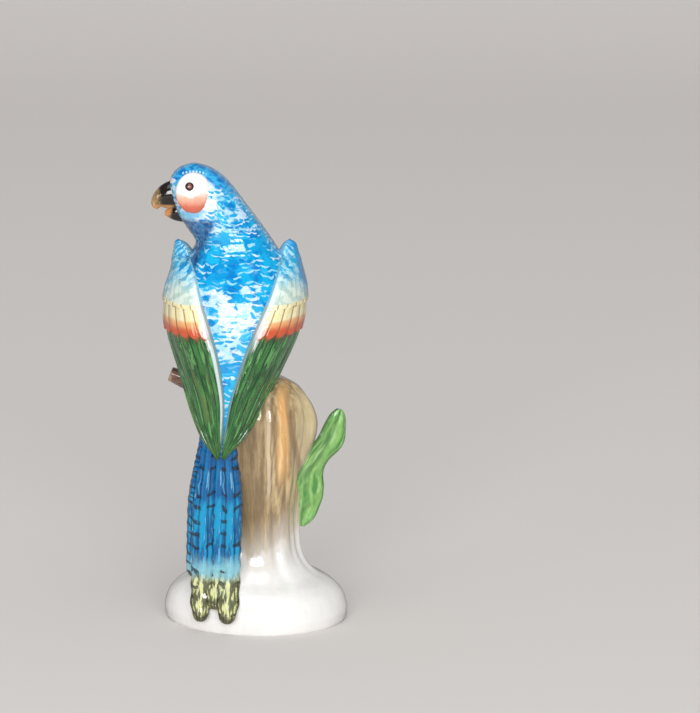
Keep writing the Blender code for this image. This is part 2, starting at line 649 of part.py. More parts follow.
def make_recess(material, collection):
    foot = STUMP_ROWS[0]
    depths = ((-FOOT_RECESS, 0.0), (FOOT_RECESS * 0.6, 0.0), (FOOT_RECESS, FOOT_RECESS * 1.5))
    rings = []
    for height, narrower in depths:
        inset = FOOT_RING_WIDTH + narrower
        ring = [stump_point(foot, a, inset) for a in circle_angles(32)]
        rings.append([Vector((p.x, p.y, height)) for p in ring])
    loft("foot_recess", rings, material, collection)


def make_hollow(material, collection):
    """The stump's and the body's hollows run into each other, and the vent opens them below."""
    low = MOUND_EDGE_HEIGHT + FOOT_RECESS
    high = STUMP_HEIGHT - WALL
    rows = [row_at_height(STUMP_ROWS, low + (high - low) * t) for t in spread(10)]
    inset = WALL + BARK_DEPTH
    rings = [[stump_point(row, a, inset) for a in circle_angles(16)] for row in rows]
    loft("stump_hollow", rings, material, collection)

    low = -WALL * 2
    high = NECK_HOLLOW_TOP
    rows = [row_at_height(BODY_ROWS, low + (high - low) * t) for t in spread(8)]
    rings = [[body_point(row, a, WALL) for a in circle_angles(16)] for row in rows]
    loft("body_hollow", rings, material, collection)
    make_vent(material, collection)
    make_recess(material, collection)


def boolean(target, operands, operation):
    step = target.modifiers.new(operands.name, "BOOLEAN")
    step.operation = operation
    step.operand_type = "COLLECTION"
    step.collection = operands
    step.solver = "EXACT"
    step.material_mode = "TRANSFER"
    for operand in operands.objects:
        operand.hide_render = True
        operand.display_type = "WIRE"


def stand_over_origin(thing):
    """Moves the casting, with the shapes it is made from, to stand centred over the origin."""
    bpy.context.view_layer.update()
    graph = bpy.context.evaluated_depsgraph_get()
    corners = [Vector(c) for c in thing.evaluated_get(graph).bound_box]
    low = [min(c[k] for c in corners) for k in range(3)]
    high = [max(c[k] for c in corners) for k in range(3)]
    shift = Vector((-(low[0] + high[0]) / 2, -(low[1] + high[1]) / 2, -low[2]))
    for joined_or_cut in bpy.data.objects:
        joined_or_cut.location = shift


def main():
    for thing in list(bpy.data.objects):
        bpy.data.objects.remove(thing)
    parts = bpy.data.collections.new("parrot_figurine")
    luted = bpy.data.collections.new("luted_shapes")
    cut = bpy.data.collections.new("cut_shapes")
    for collection in (parts, luted, cut):
        bpy.context.scene.collection.children.link(collection)

    white = glaze("white_glaze", (0.86, 0.85, 0.82))
    bark_brown = glaze("bark_brown", (0.42, 0.30, 0.19))
    leaf_green = glaze("leaf_green", (0.10, 0.32, 0.10))
    blue = glaze("feather_blue", (0.10, 0.42, 0.78))
    flight_green = glaze("flight_feather_green", (0.05, 0.18, 0.07))
    black = glaze("beak_black", (0.05, 0.04, 0.035))
    grey = glaze("toe_grey", (0.30, 0.27, 0.24))

    figurine = make_stump(white, parts)
    make_limbs(bark_brown, luted)
    make_branch(bark_brown, luted)
    make_leaf(leaf_green, luted)
    make_body(blue, luted)
    make_wing(-1, "left_wing", flight_green, luted)
    make_wing(1, "right_wing", flight_green, luted)
    for feather in TAIL_FEATHERS:
        make_tail_feather(feather, blue, luted)
    make_tail_bed(bark_brown, luted)
    make_face(white, black, luted)
    make_beak(black, luted)
    make_feet(blue, grey, luted)
    make_hollow(white, cut)

    boolean(figurine, luted, "UNION")
    boolean(figurine, cut, "DIFFERENCE")
    stand_over_origin(figurine)


main()
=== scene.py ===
import math

import bmesh
import bpy
from mathutils import Matrix, Vector


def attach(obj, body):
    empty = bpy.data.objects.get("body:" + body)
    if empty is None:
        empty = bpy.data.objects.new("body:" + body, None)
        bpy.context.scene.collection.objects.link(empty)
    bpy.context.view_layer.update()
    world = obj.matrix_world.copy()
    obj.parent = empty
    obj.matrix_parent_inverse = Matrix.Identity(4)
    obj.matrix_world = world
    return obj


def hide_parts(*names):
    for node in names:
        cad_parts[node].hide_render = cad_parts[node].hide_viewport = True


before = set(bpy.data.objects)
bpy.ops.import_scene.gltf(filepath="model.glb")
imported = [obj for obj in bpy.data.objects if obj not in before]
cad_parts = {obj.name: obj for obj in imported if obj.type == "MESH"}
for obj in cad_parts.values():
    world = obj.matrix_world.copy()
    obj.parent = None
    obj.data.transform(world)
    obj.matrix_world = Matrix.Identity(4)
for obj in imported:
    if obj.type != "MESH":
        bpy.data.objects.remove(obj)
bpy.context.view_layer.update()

# Stump and mound: the lower casting, slip-cast porcelain with bark ridges that run down into a
# smooth oval mound. It is glazed white and the bark is washed in browns that stop short of the foot.

MM = 0.001
# The stump's axis in the frame, whose origin is the middle of the whole figurine's box
AXIS = Vector((1.56, 0.99, 0.0))

PERCH = 74.0
MOUND_HALF_LENGTH = 28.0
MOUND_HALF_WIDTH = 25.0
MOUND_TURN = math.radians(-22)
FOOT_RECESS = 1.6
FOOT_RING_SHARE = 0.86
STUMP_RADIUS = 12.6
CROWN_LEAN = 2.0
BARK_RIDGES = 9

# The shares of the casting's rows that lie under the foot and on top of the crown
UNDER_FOOT = 0.04
ON_CROWN = 0.015

# Height, mound share, stump radius, bark share and lean
STUMP_ROWS = [
    (0.0, 0.965, STUMP_RADIUS, 0.0, 0.0),
    (1.26, 0.993, STUMP_RADIUS, 0.0, 0.0),
    (4.2, 1.0, STUMP_RADIUS, 0.0, 0.0),
    (8.12, 0.90, STUMP_RADIUS, 0.05, 0.0),
    (11.48, 0.67, STUMP_RADIUS, 0.15, 0.0),
    (14.0, 0.37, STUMP_RADIUS, 0.3, 0.0),
    (17.5, 0.14, STUMP_RADIUS, 0.5, 0.0),
    (23.0, 0.02, STUMP_RADIUS, 0.75, 0.0),
    (33.3, 0.0, STUMP_RADIUS, 1.0, 0.2),
    (48.84, 0.0, 13.55, 1.0, 1.2),
    (61.42, 0.0, 14.5, 0.9, CROWN_LEAN),
    (68.82, 0.0, 12.62, 0.6, CROWN_LEAN),
    (72.89, 0.0, 7.98, 0.3, CROWN_LEAN),
    (PERCH, 0.0, 2.9, 0.0, CROWN_LEAN),
]


def smooth_row(rows, t):
    """The row at t, from 0 to len(rows) - 1, on a Catmull-Rom curve through all the rows."""
    last = len(rows) - 1
    i = min(int(t), last - 1)
    f = t - i
    p, q, r, s = (rows[max(0, min(last, k))] for k in (i - 1, i, i + 1, i + 2))
    weights = (
        (2 * f**2 - f - f**3) / 2,
        (2 - 5 * f**2 + 3 * f**3) / 2,
        (f + 4 * f**2 - 3 * f**3) / 2,
        (f**3 - f**2) / 2,
    )
    return [sum(w * v for w, v in zip(weights, values)) for values in zip(p, q, r, s)]


def row_at_height(rows, height):
    """The smooth row whose first value is this height; the heights rise from row to row."""
    low, high = 0.0, len(rows) - 1.0
    for _ in range(20):
        middle = (low + high) / 2
        if smooth_row(rows, middle)[0] < height:
            low = middle
        else:
            high = middle
    return smooth_row(rows, (low + high) / 2)


def ease(low, high, value):
    """0 up to low, 1 from high, and a smooth ramp between."""
    t = max(0.0, min(1.0, (value - low) / (high - low)))
    return t * t * (3 - 2 * t)


def formed(name, across, along, section):
    """A grid shaped in millimetres: section(v) gives the place(u) that sets each row's points."""
    shape = bmesh.new()
    shape.loops.layers.uv.new("surface")
    bmesh.ops.create_grid(shape, x_segments=across, y_segments=along, size=0.5, calc_uvs=True)
    row = None
    for vert in shape.verts:
        if vert.co.y != row:
            row = vert.co.y
            place = section(row + 0.5)
        vert.co = (place(vert.co.x + 0.5) + AXIS) * MM
    bmesh.ops.remove_doubles(shape, verts=shape.verts, dist=0.002 * MM)
    ends = [edge for edge in shape.edges if edge.is_boundary]
    if ends:
        bmesh.ops.holes_fill(shape, edges=ends, sides=0)
    bmesh.ops.recalc_face_normals(shape, faces=shape.faces)
    mesh = bpy.data.meshes.new(name)
    shape.to_mesh(mesh)
    shape.free()
    mesh.shade_smooth()
    piece = bpy.data.objects.new(name, mesh)
    bpy.context.scene.collection.objects.link(piece)
    return piece


def finish_piece(piece, material):
    """Glazes the piece and places it on the figurine's one body."""
    piece.data.materials.append(material)
    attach(piece, "root")


class Wire:
    """A node's output, on which Python's operators add the nodes that work them out."""

    def __init__(self, tree, socket):
        self.tree = tree
        self.socket = socket

    def node(self, kind, settings=None, inputs=None, output=0):
        """A new node of this kind, its settings made first, and the output asked for."""
        made = self.tree.nodes.new(kind)
        for key, value in (settings or {}).items():
            setattr(made, key, value)
        for key, value in (inputs or {}).items():
            if isinstance(value, Wire):
                self.tree.links.new(value.socket, made.inputs[key])
            else:
                made.inputs[key].default_value = value
        return Wire(self.tree, made.outputs[output])

    def maths(self, operation, *values):
        inputs = dict(enumerate(values))
        return self.node("ShaderNodeMath", {"operation": operation}, inputs)

    def __add__(self, other):
        return self.maths("ADD", self, other)

    def __radd__(self, other):
        return self.maths("ADD", other, self)

    def __sub__(self, other):
        return self.maths("SUBTRACT", self, other)

    def __rsub__(self, other):
        return self.maths("SUBTRACT", other, self)

    def __mul__(self, other):
        return self.maths("MULTIPLY", self, other)

    def __rmul__(self, other):
        return self.maths("MULTIPLY", other, self)

    def __truediv__(self, other):
        return self.maths("DIVIDE", self, other)

    def __neg__(self):
        return self.maths("MULTIPLY", self, -1.0)

    def __abs__(self):
        return self.maths("ABSOLUTE", self)

    def wave(self):
        return self.maths("SINE", self)

    def floor(self):
        return self.maths("FLOOR", self)

    def part(self):
        return self.maths("FRACT", self)

    def most(self, other):
        return self.maths("MAXIMUM", self, other)

    def least(self, other):
        return self.maths("MINIMUM", self, other)

    def ramp(self, low, high, start=0.0, end=1.0):
        """start up to low, end from high, and a smooth ramp between."""
        inputs = {"Value": self, "From Min": low, "From Max": high, "To Min": start, "To Max": end}
        return self.node("ShaderNodeMapRange", {"interpolation_type": "SMOOTHSTEP"}, inputs)

    def mix(self, other, share):
        """This colour turned into the other by a share from 0 to 1."""
        settings = {"data_type": "RGBA", "clamp_factor": True}
        inputs = {0: share, 6: self, 7: other}
        return self.node("ShaderNodeMix", settings, inputs, 2)


def paint(red, green, blue):
    """A colour as a paint chart gives it, 0 to 255, turned to the linear values of a shader."""
    values = [c / 255 for c in (red, green, blue)]
    return (*(v / 12.92 if v <= 0.04045 else ((v + 0.055) / 1.055) ** 2.4 for v in values), 1)


class Glaze:
    """A painted porcelain finish: places on the piece, brushwork and the glossy shader."""

    def __init__(self, name):
        self.material = bpy.data.materials.new(name)
        self.material.use_nodes = True
        self.tree = self.material.node_tree
        self.shader = self.tree.nodes["Principled BSDF"]
        self.shader.inputs["Roughness"].default_value = 0.1
        self.shader.inputs["Coat Weight"].default_value = 1.0
        self.shader.inputs["Coat Roughness"].default_value = 0.03
        self.shader.inputs["IOR"].default_value = 1.55
        self.make = Wire(self.tree, None).node
        place = self.make("ShaderNodeTexCoord", output="Object")
        inputs = {0: place, "Scale": 1 / MM}
        self.spot = self.make("ShaderNodeVectorMath", {"operation": "SCALE"}, inputs)
        self.x, self.y, self.z = (self.split(self.spot, k) for k in range(3))
        surface = self.make("ShaderNodeUVMap", {"uv_map": "surface"})
        self.u, self.v = (self.split(surface, k) for k in range(2))

    def split(self, vector, number):
        """One part of a vector, by its number."""
        return self.make("ShaderNodeSeparateXYZ", {}, {0: vector}, number)

    def colour(self, value):
        """A plain colour that others can be mixed into."""
        return self.make("ShaderNodeMix", {"data_type": "RGBA"}, {0: 0.0, 6: value, 7: value}, 2)

    def cloud(self, size, detail=3.0, stretch=(1, 1, 1), shift=(0, 0, 0)):
        """Noise from 0 to 1 with blotches about this many millimetres wide."""
        scale = tuple(1 / (size * s) for s in stretch)
        inputs = {"Vector": self.spot, "Location": shift, "Scale": scale}
        mapped = self.make("ShaderNodeMapping", {}, inputs)
        inputs = {"Vector": mapped, "Scale": 1.0, "Detail": detail, "Roughness": 0.55}
        return self.make("ShaderNodeTexNoise", {}, inputs)

    def brush(self, across, along, detail=2.0):
        """Noise drawn out along the surface, with this many blotches across it and along it."""
        u, v = self.u * across, self.v * along
        place = self.make("ShaderNodeCombineXYZ", {}, {0: u, 1: v})
        return self.make("ShaderNodeTexNoise", {}, {"Vector": place, "Scale": 1.0, "Detail": detail})

    def chance(self, first, second):
        """A value from 0 to 1 for each cell numbered by these two."""
        cell = self.make("ShaderNodeCombineXYZ", {}, {0: first, 1: second})
        return self.make("ShaderNodeTexWhiteNoise", {}, {"Vector": cell})

    def apply(self, colour, height, depth, gloss=None):
        """Feeds the shader: a colour, a relief of this depth in millimetres and a roughness."""
        self.tree.links.new(colour.socket, self.shader.inputs["Base Color"])
        inputs = {"Height": height, "Strength": 1.0, "Distance": depth * MM}
        bump = self.make("ShaderNodeBump", {}, inputs)
        self.tree.links.new(bump.socket, self.shader.inputs["Normal"])
        if gloss is not None:
            self.tree.links.new(gloss.socket, self.shader.inputs["Roughness"])
        return self.material


def mound_radius(angle):
    """The oval foot's radius in this direction."""
    turned = angle - MOUND_TURN
    return 1 / math.hypot(math.cos(turned) / MOUND_HALF_LENGTH, math.sin(turned) / MOUND_HALF_WIDTH)


def bark(angle, height):
    """Ridges of uneven width that wander a little up the stump, from -1 to 1."""
    drift = 0.5 * math.sin(height / 17)
    broad = math.cos(BARK_RIDGES * angle + drift)
    fine = math.cos((BARK_RIDGES + 6) * angle - 2 * drift + 1.0)
    return 0.65 * broad + 0.35 * fine


def stump_point(row, angle):
    """A point of the casting's outside, between the stump's round and the mound's oval."""
    height, mound_share, radius, bark_share, lean = row
    reach = radius + (mound_radius(angle) - radius) * mound_share
    crease = math.cos((2 * BARK_RIDGES + 5) * angle + height / 9)
    reach += bark_share * (0.9 * bark(angle, height) + 0.12 * crease)
    return Vector((lean + reach * math.cos(angle), reach * math.sin(angle), height))


def section_of_stump(v):
    """From under the foot, over its rounded edge and up to the crown."""
    last = len(STUMP_ROWS) - 1
    middle = 0.0
    if v < UNDER_FOOT:
        share = v / UNDER_FOOT
        row = smooth_row(STUMP_ROWS, 0)
        height = FOOT_RECESS * ease(0.0, 1.0, (FOOT_RING_SHARE - share) * 8)
    elif v > 1 - ON_CROWN:
        share = (1 - v) / ON_CROWN
        row = smooth_row(STUMP_ROWS, last)
        height = PERCH + 0.3 * (1 - share**2)
        middle = CROWN_LEAN
    else:
        share = 1.0
        row = smooth_row(STUMP_ROWS, (v - UNDER_FOOT) / (1 - UNDER_FOOT - ON_CROWN) * last)
        height = row[0]

    def place(u):
        point = stump_point(row, math.pi / 2 + 2 * math.pi * u)
        return Vector((middle + (point.x - middle) * share, point.y * share, height))

    return place


stump = formed("stump_and_mound", 220, 200, section_of_stump)


def bark_wash(glaze):
    """White glaze below; tan, amber and brown washes run down the stump above it, with painted shade
    beside the tail and in the outer limb's crease, and a pale drip that is also a painted highlight on
    the inner limb.
    """
    x, z = glaze.x, glaze.z
    streak = glaze.cloud(2.2, 5, (1, 1, 9))
    broad = glaze.cloud(7, 3, (1, 1, 3))
    fine = glaze.cloud(0.7, 4, (1, 1, 5))
    white = glaze.colour(paint(244, 242, 239)).mix(paint(226, 226, 222), broad.ramp(0.42, 0.70) * 0.5)
    tan = glaze.colour(paint(202, 178, 132)).mix(paint(150, 124, 80), streak.ramp(0.36, 0.62))
    brown = tan.mix(paint(116, 92, 64), (streak * 0.8 + fine * 0.5).ramp(0.60, 0.84) * 0.75)
    # Painted shade: the brown darkens on the stump beside the tail, where the tail shades it.
    shade_beside_tail = (x + (broad - 0.5) * 6).ramp(6.0, 0.0)
    brown = brown.mix(paint(112, 88, 50), shade_beside_tail * (0.45 + fine * 0.5))
    amber_run = abs(x - 10.0 + (broad - 0.5) * 1.6).ramp(2.4, 0.6) * z.ramp(40, 50) * z.ramp(76, 69)
    brown = brown.mix(paint(228, 170, 96), amber_run * streak.ramp(0.30, 0.44) * 0.85)
    brown = brown.mix(paint(240, 206, 150), amber_run * streak.ramp(0.52, 0.62) * 0.8)
    pale_right = (x + (streak - 0.5) * 4).ramp(12.5, 16.5) * 0.6
    brown = brown.mix(paint(210, 194, 150), pale_right)
    # Painted shade: a darker brown line along the crease between the stump and the outer limb.
    crease = abs(x - 11.0 - (69 - z) * 0.17 + (broad - 0.5) * 2).ramp(1.3, 0.3)
    brown = brown.mix(paint(124, 94, 58), crease * z.ramp(36, 50) * z.ramp(73, 68) * 0.6)
    # A pale drip line down the inner limb's ridge, which is also a painted highlight along that ridge.
    drip_and_highlight = abs(x - 5.8 + (glaze.cloud(6, 1) - 0.5) * 1.2).ramp(0.7, 0.3) * z.ramp(38, 42) * z.ramp(70, 64)
    brown = brown.mix(paint(226, 206, 180), drip_and_highlight * streak.ramp(0.30, 0.45) * 0.6)
    hem = 18.0 + (streak - 0.5) * 13 + abs(x - 2.0) * 0.6
    washed = (z - hem).ramp(-1.5, 4.0) * (0.55 + (z - hem).ramp(0, 14) * 0.45)
    washed = (washed * 0.96).most((z - hem).ramp(-9, 4) * 0.34)
    washed = washed * z.ramp(10, 19)
    specks = glaze.cloud(0.45, 2, (1, 1, 1.4)).ramp(0.70, 0.76) * washed
    colour = white.mix(brown, washed).mix(paint(84, 60, 40), specks * 0.6)
    relief = streak * 0.6 + fine * 0.25 + glaze.cloud(9, 2) * 1.2
    return glaze.apply(colour, relief, 0.16, glaze.cloud(4, 2).ramp(0.3, 0.8, 0.07, 0.16))


bark_glaze = bark_wash(Glaze("bark wash under clear glaze"))
finish_piece(stump, bark_glaze)
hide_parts("parrot_figurine")

# Limbs and broken branch: rolls of clay luted over the stump's shoulder and out of its crown.
# The limbs melt into the bark, and the branch under the bird ends in a plain cut face.

# The share of a rod's rows that closes each of its ends
ROD_END = 0.06


def section_of_rod(stations, v, flute=0.0):
    """A bent round rod through (x, y, z, radius) stations, with closed ends."""
    share = min(1.0, max(0.0, (v - ROD_END) / (1 - 2 * ROD_END)))
    t = share * (len(stations) - 1)
    x, y, z, radius = smooth_row(stations, t)
    ahead = smooth_row(stations, min(len(stations) - 1, t + 0.02))
    behind = smooth_row(stations, max(0.0, t - 0.02))
    way = Vector(ahead[:3]) - Vector(behind[:3])
    way.normalize()
    side = way.cross(Vector((0.0, 1.0, 0.0))).normalized()
    other = way.cross(side)
    radius *= min(1.0, v / ROD_END, (1 - v) / ROD_END)
    centre = Vector((x, y, z))

    def place(u):
        angle = 2 * math.pi * u
        reach = radius * (1 + flute * math.cos(7 * angle + z / 4))
        return centre + (side * math.cos(angle) + other * math.sin(angle)) * reach

    return place


OUTER_LIMB = [
    (4, -1, 71, 3.36),
    (9.5, -2, 68, 4.76),
    (13.2, -2.5, 60, 5.6),
    (10.8, -2.5, 49, 4.48),
    (8.0, -2, 38, 2.8),
]
INNER_LIMB = [
    (2, -4, 68, 3.36),
    (4.6, -8, 64, 4.48),
    (5.2, -8.6, 54, 5.04),
    (5.0, -7.2, 40, 5.04),
    (4.4, -4.4, 24, 4.48),
]
BRANCH = [
    (3, 3, 68, 4.7),
    (-9, 4, 68.5, 4.0),
    (-17.9, 4.5, 70.8, 3.06),
    (-25.6, 4.5, 73.8, 2.1),
]
for name, stations in (("outer_limb", OUTER_LIMB), ("inner_limb", INNER_LIMB)):
    limb = formed(name, 60, 90, lambda v: section_of_rod(stations, v, 0.03))
    finish_piece(limb, bark_glaze)


def branch_wash(glaze):
    """Reddish brown on the bark and a paler tan on the cut end."""
    streak = glaze.cloud(1.6, 4, (6, 1, 1))
    colour = glaze.colour(paint(134, 96, 78)).mix(paint(84, 58, 48), streak.ramp(0.4, 0.65))
    cut = glaze.x.ramp(-23.3, -24.2)
    colour = colour.mix(paint(190, 160, 132), cut * 0.7)
    return glaze.apply(colour, streak, 0.15)


branch = formed("branch", 48, 70, lambda v: section_of_rod(BRANCH, v, 0.04))
finish_piece(branch, branch_wash(Glaze("branch brown under clear glaze")))

# Leaf: one long leaf pressed from clay, luted on at its base and along its lower half, its edge
# waved and its midrib grooved. It is painted in two greens with darker side veins.

LEAF_FOOT = 27.6
LEAF_LENGTH = 36.0
LEAF_THICKNESS = 1.9

# Share of the leaf's length, middle's X and Y, half width across X, and how far it turns into Y
LEAF_ROWS = [
    (0.0, 13.6, 0.6, 0.7, 0.4),
    (0.11, 14.5, 0.2, 3.4, 1.4),
    (0.24, 15.7, -0.4, 4.4, 2.2),
    (0.36, 15.7, -0.8, 4.3, 2.8),
    (0.46, 16.2, -0.8, 4.0, 3.2),
    (0.58, 18.7, -0.5, 3.6, 3.4),
    (0.71, 21.7, 0.0, 3.8, 3.2),
    (0.82, 23.5, 0.4, 3.7, 2.6),
    (0.91, 24.8, 0.8, 2.6, 1.6),
    (0.97, 25.2, 1.0, 1.4, 0.8),
    (1.0, 25.4, 1.0, 0.6, 0.3),
]


def section_of_leaf(v):
    """Round the leaf's section, front then back, from its base to its tip."""
    along, x, y, half, turn = smooth_row(LEAF_ROWS, v * (len(LEAF_ROWS) - 1))
    middle = Vector((x, y, LEAF_FOOT + LEAF_LENGTH * along))
    facing = Vector((turn, -half, 0)).normalized()

    def place(u):
        across = math.cos(2 * math.pi * u)
        front = 1 if u < 0.5 else -1
        wave = 0.8 * across**2 * math.sin(6.0 * math.pi * along + 0.8 * across)
        trough = 0.8 * (1 - abs(across)) ** 2
        vein = 0.12 * math.sin(34 * along + 3.5 * abs(across)) * (1 - across**2)
        thick = LEAF_THICKNESS * (0.4 + 0.6 * math.sqrt(max(0.0, 1 - across**2))) / 2
        thick *= min(1.0, 6 * math.sin(2 * math.pi * u % math.pi))
        point = middle + Vector((across * half, across * turn, -0.3 * across * half))
        return point + facing * (min(1.0, half / 2) * (wave - trough + vein) + front * thick)

    return place


leaf = formed("leaf", 72, 120, section_of_leaf)


def leaf_paint(glaze):
    """Mid green with painted highlights in paler streaks between veins that fork off the midrib, and
    painted shade darkening the margins.
    """
    across = (glaze.u * 2 * math.pi + math.pi / 2).wave()
    vein = abs((glaze.v * 17 + abs(across) * 1.9 + glaze.cloud(3, 2) * 0.5).part() - 0.5)
    rib = abs(across).ramp(0.10, 0.03)
    blotch = glaze.cloud(3.5, 3)
    run = glaze.brush(12, 5, 2)
    green = glaze.colour(paint(138, 190, 106)).mix(paint(84, 146, 72), run.ramp(0.42, 0.64))
    # Painted highlights: paler green streaks along the leaf.
    green = green.mix(paint(172, 218, 146), glaze.brush(16, 5, 2).ramp(0.52, 0.66) * 0.8)
    line = (vein.ramp(0.12, 0.03) * 0.14).most(rib * 0.3)
    # Painted shade: darker green towards the leaf's margins.
    edge = (abs(across) + (blotch - 0.5) * 0.3).ramp(0.78, 0.98) * 0.75
    colour = green.mix(paint(44, 98, 46), line).mix(paint(40, 94, 44), edge)
    return glaze.apply(colour, vein * 0.2 + run * 1.6 + blotch, 0.5)


finish_piece(leaf, leaf_paint(Glaze("leaf green under clear glaze")))

# Body, neck and head: the bird's main casting, its plumage pressed as shallow scales. It is washed
# in pale blue and dabbed with azure, most thickly on the crown, the upper back and the rump.

# Height over the perch, sideways shift, middle's Y, half width, half depth
BODY_ROWS = [
    (-27, -3.4, -12.5, 3.2, 2.4),
    (-20, -2.8, -12.8, 4.6, 4.4),
    (-12, -1.8, -10.6, 7.8, 7.8),
    (-4, -0.9, -6.5, 11.55, 12.21),
    (6, 0.0, -2.5, 16.1, 15.82),
    (16, 0.7, -0.5, 17.5, 17.2),
    (25, 1.3, 0.8, 17.59, 16.77),
    (32, 1.7, 1.8, 16.45, 14.62),
    (37, 1.4, 2.2, 13.65, 12.56),
    (41, 1.0, 2.2, 11.5, 11.2),
    (45, -1.5, 1.8, 11.3, 10.6),
    (49, -4.2, 1.3, 11.2, 10.2),
    (53, -6.4, 0.9, 10.5, 9.8),
    (57, -8.4, 0.6, 9.6, 9.0),
    (60.6, -9.8, 0.4, 7.9, 7.5),
    (63.4, -10.6, 0.2, 4.9, 4.8),
    (64.8, -10.8, 0.2, 1.2, 1.2),
]
LEAN = -7.1
SQUARENESS = 2.3
SCALE_ROWS = 52
SCALES_ROUND = 34

# The share of the body's rows that closes each of its ends
BODY_END = 0.015


def body_point(row, angle, proud=0.0):
    """A point of the body's squarish oval, a little outside it where a scale stands proud."""
    over_perch, shift, middle, half_width, half_depth = row
    round_part = abs(math.cos(angle)) ** SQUARENESS + abs(math.sin(angle)) ** SQUARENESS
    reach = round_part ** (-1 / SQUARENESS)
    x = LEAN + shift + (half_width + proud) * reach * math.cos(angle)
    y = middle + (half_depth + proud) * reach * math.sin(angle)
    return Vector((x, y, PERCH + over_perch))


def even_steps(rows, count=400):
    """Places along the rows, spaced by the length of the back's profile."""
    lengths = [0.0]
    last = None
    for i in range(count + 1):
        row = smooth_row(rows, i / count * (len(rows) - 1))
        point = body_point(row, -math.pi / 2)
        if last is not None:
            lengths.append(lengths[-1] + (point - last).length)
        last = point
    return [length / lengths[-1] for length in lengths]


BODY_STEPS = even_steps(BODY_ROWS)


def body_row_at(share):
    """The body's row at this share of the way up its back."""
    low, high = 0, len(BODY_STEPS) - 1
    while high - low > 1:
        middle = (low + high) // 2
        if BODY_STEPS[middle] < share:
            low = middle
        else:
            high = middle
    span = BODY_STEPS[high] - BODY_STEPS[low]
    place = low + (share - BODY_STEPS[low]) / span
    return smooth_row(BODY_ROWS, place / (len(BODY_STEPS) - 1) * (len(BODY_ROWS) - 1))


def scale_relief(u, v):
    """Each scale stands out at its lower edge and sinks under the one above it."""
    row = v * SCALE_ROWS
    n = math.floor(row)
    a = u * SCALES_ROUND + 0.5 * (n % 2)
    side = (a - math.floor(a) - 0.5) * 2
    deep = 0.03 + 0.11 * ease(0.60, 0.74, v)
    return deep * (1 - (row - n)) * (1 - 0.8 * side * side)


def section_of_body(v):
    """From under the tail's root, up the back and over the crown."""
    share = min(1.0, max(0.0, (v - BODY_END) / (1 - 2 * BODY_END)))
    row = body_row_at(share)
    calm = ease(0.0, 0.05, share) * (1 - ease(0.93, 0.99, share))
    fill = min(1.0, v / BODY_END, (1 - v) / BODY_END)
    centre = Vector((LEAN + row[1], row[2], PERCH + row[0]))

    def place(u):
        proud = calm * scale_relief(u, share)
        point = body_point(row, math.pi / 2 + 2 * math.pi * u, proud)
        return centre + (point - centre) * fill

    return place


body = formed("body_and_head", 272, 300, section_of_body)


def scale_strokes(glaze, across, along, width=0.27, wobble=1.2):
    """Oval brush dabs, one to a cell, each row shifted by half a cell from the last."""
    row = along + (glaze.cloud(4.0, 1) - 0.5) * wobble
    number = row.floor()
    drift = (glaze.cloud(4.0, 1, shift=(7, 3, 5)) - 0.5) * wobble
    shifted = across + drift + (number * 0.5).part()
    side = (shifted.part() - 0.5) * 2
    luck = glaze.chance(shifted.floor(), number)
    off = row.part() - 0.36 - luck * 0.24 - side * side * 0.14 + side * (luck - 0.5) * 0.3
    thick = width * (0.55 + luck * 0.9) + (glaze.cloud(0.9, 2) - 0.5) * 0.18
    reach = off / thick
    stroke = (reach * reach + side * side * 1.1).ramp(1.3, 0.7)
    return stroke, luck, row.part()


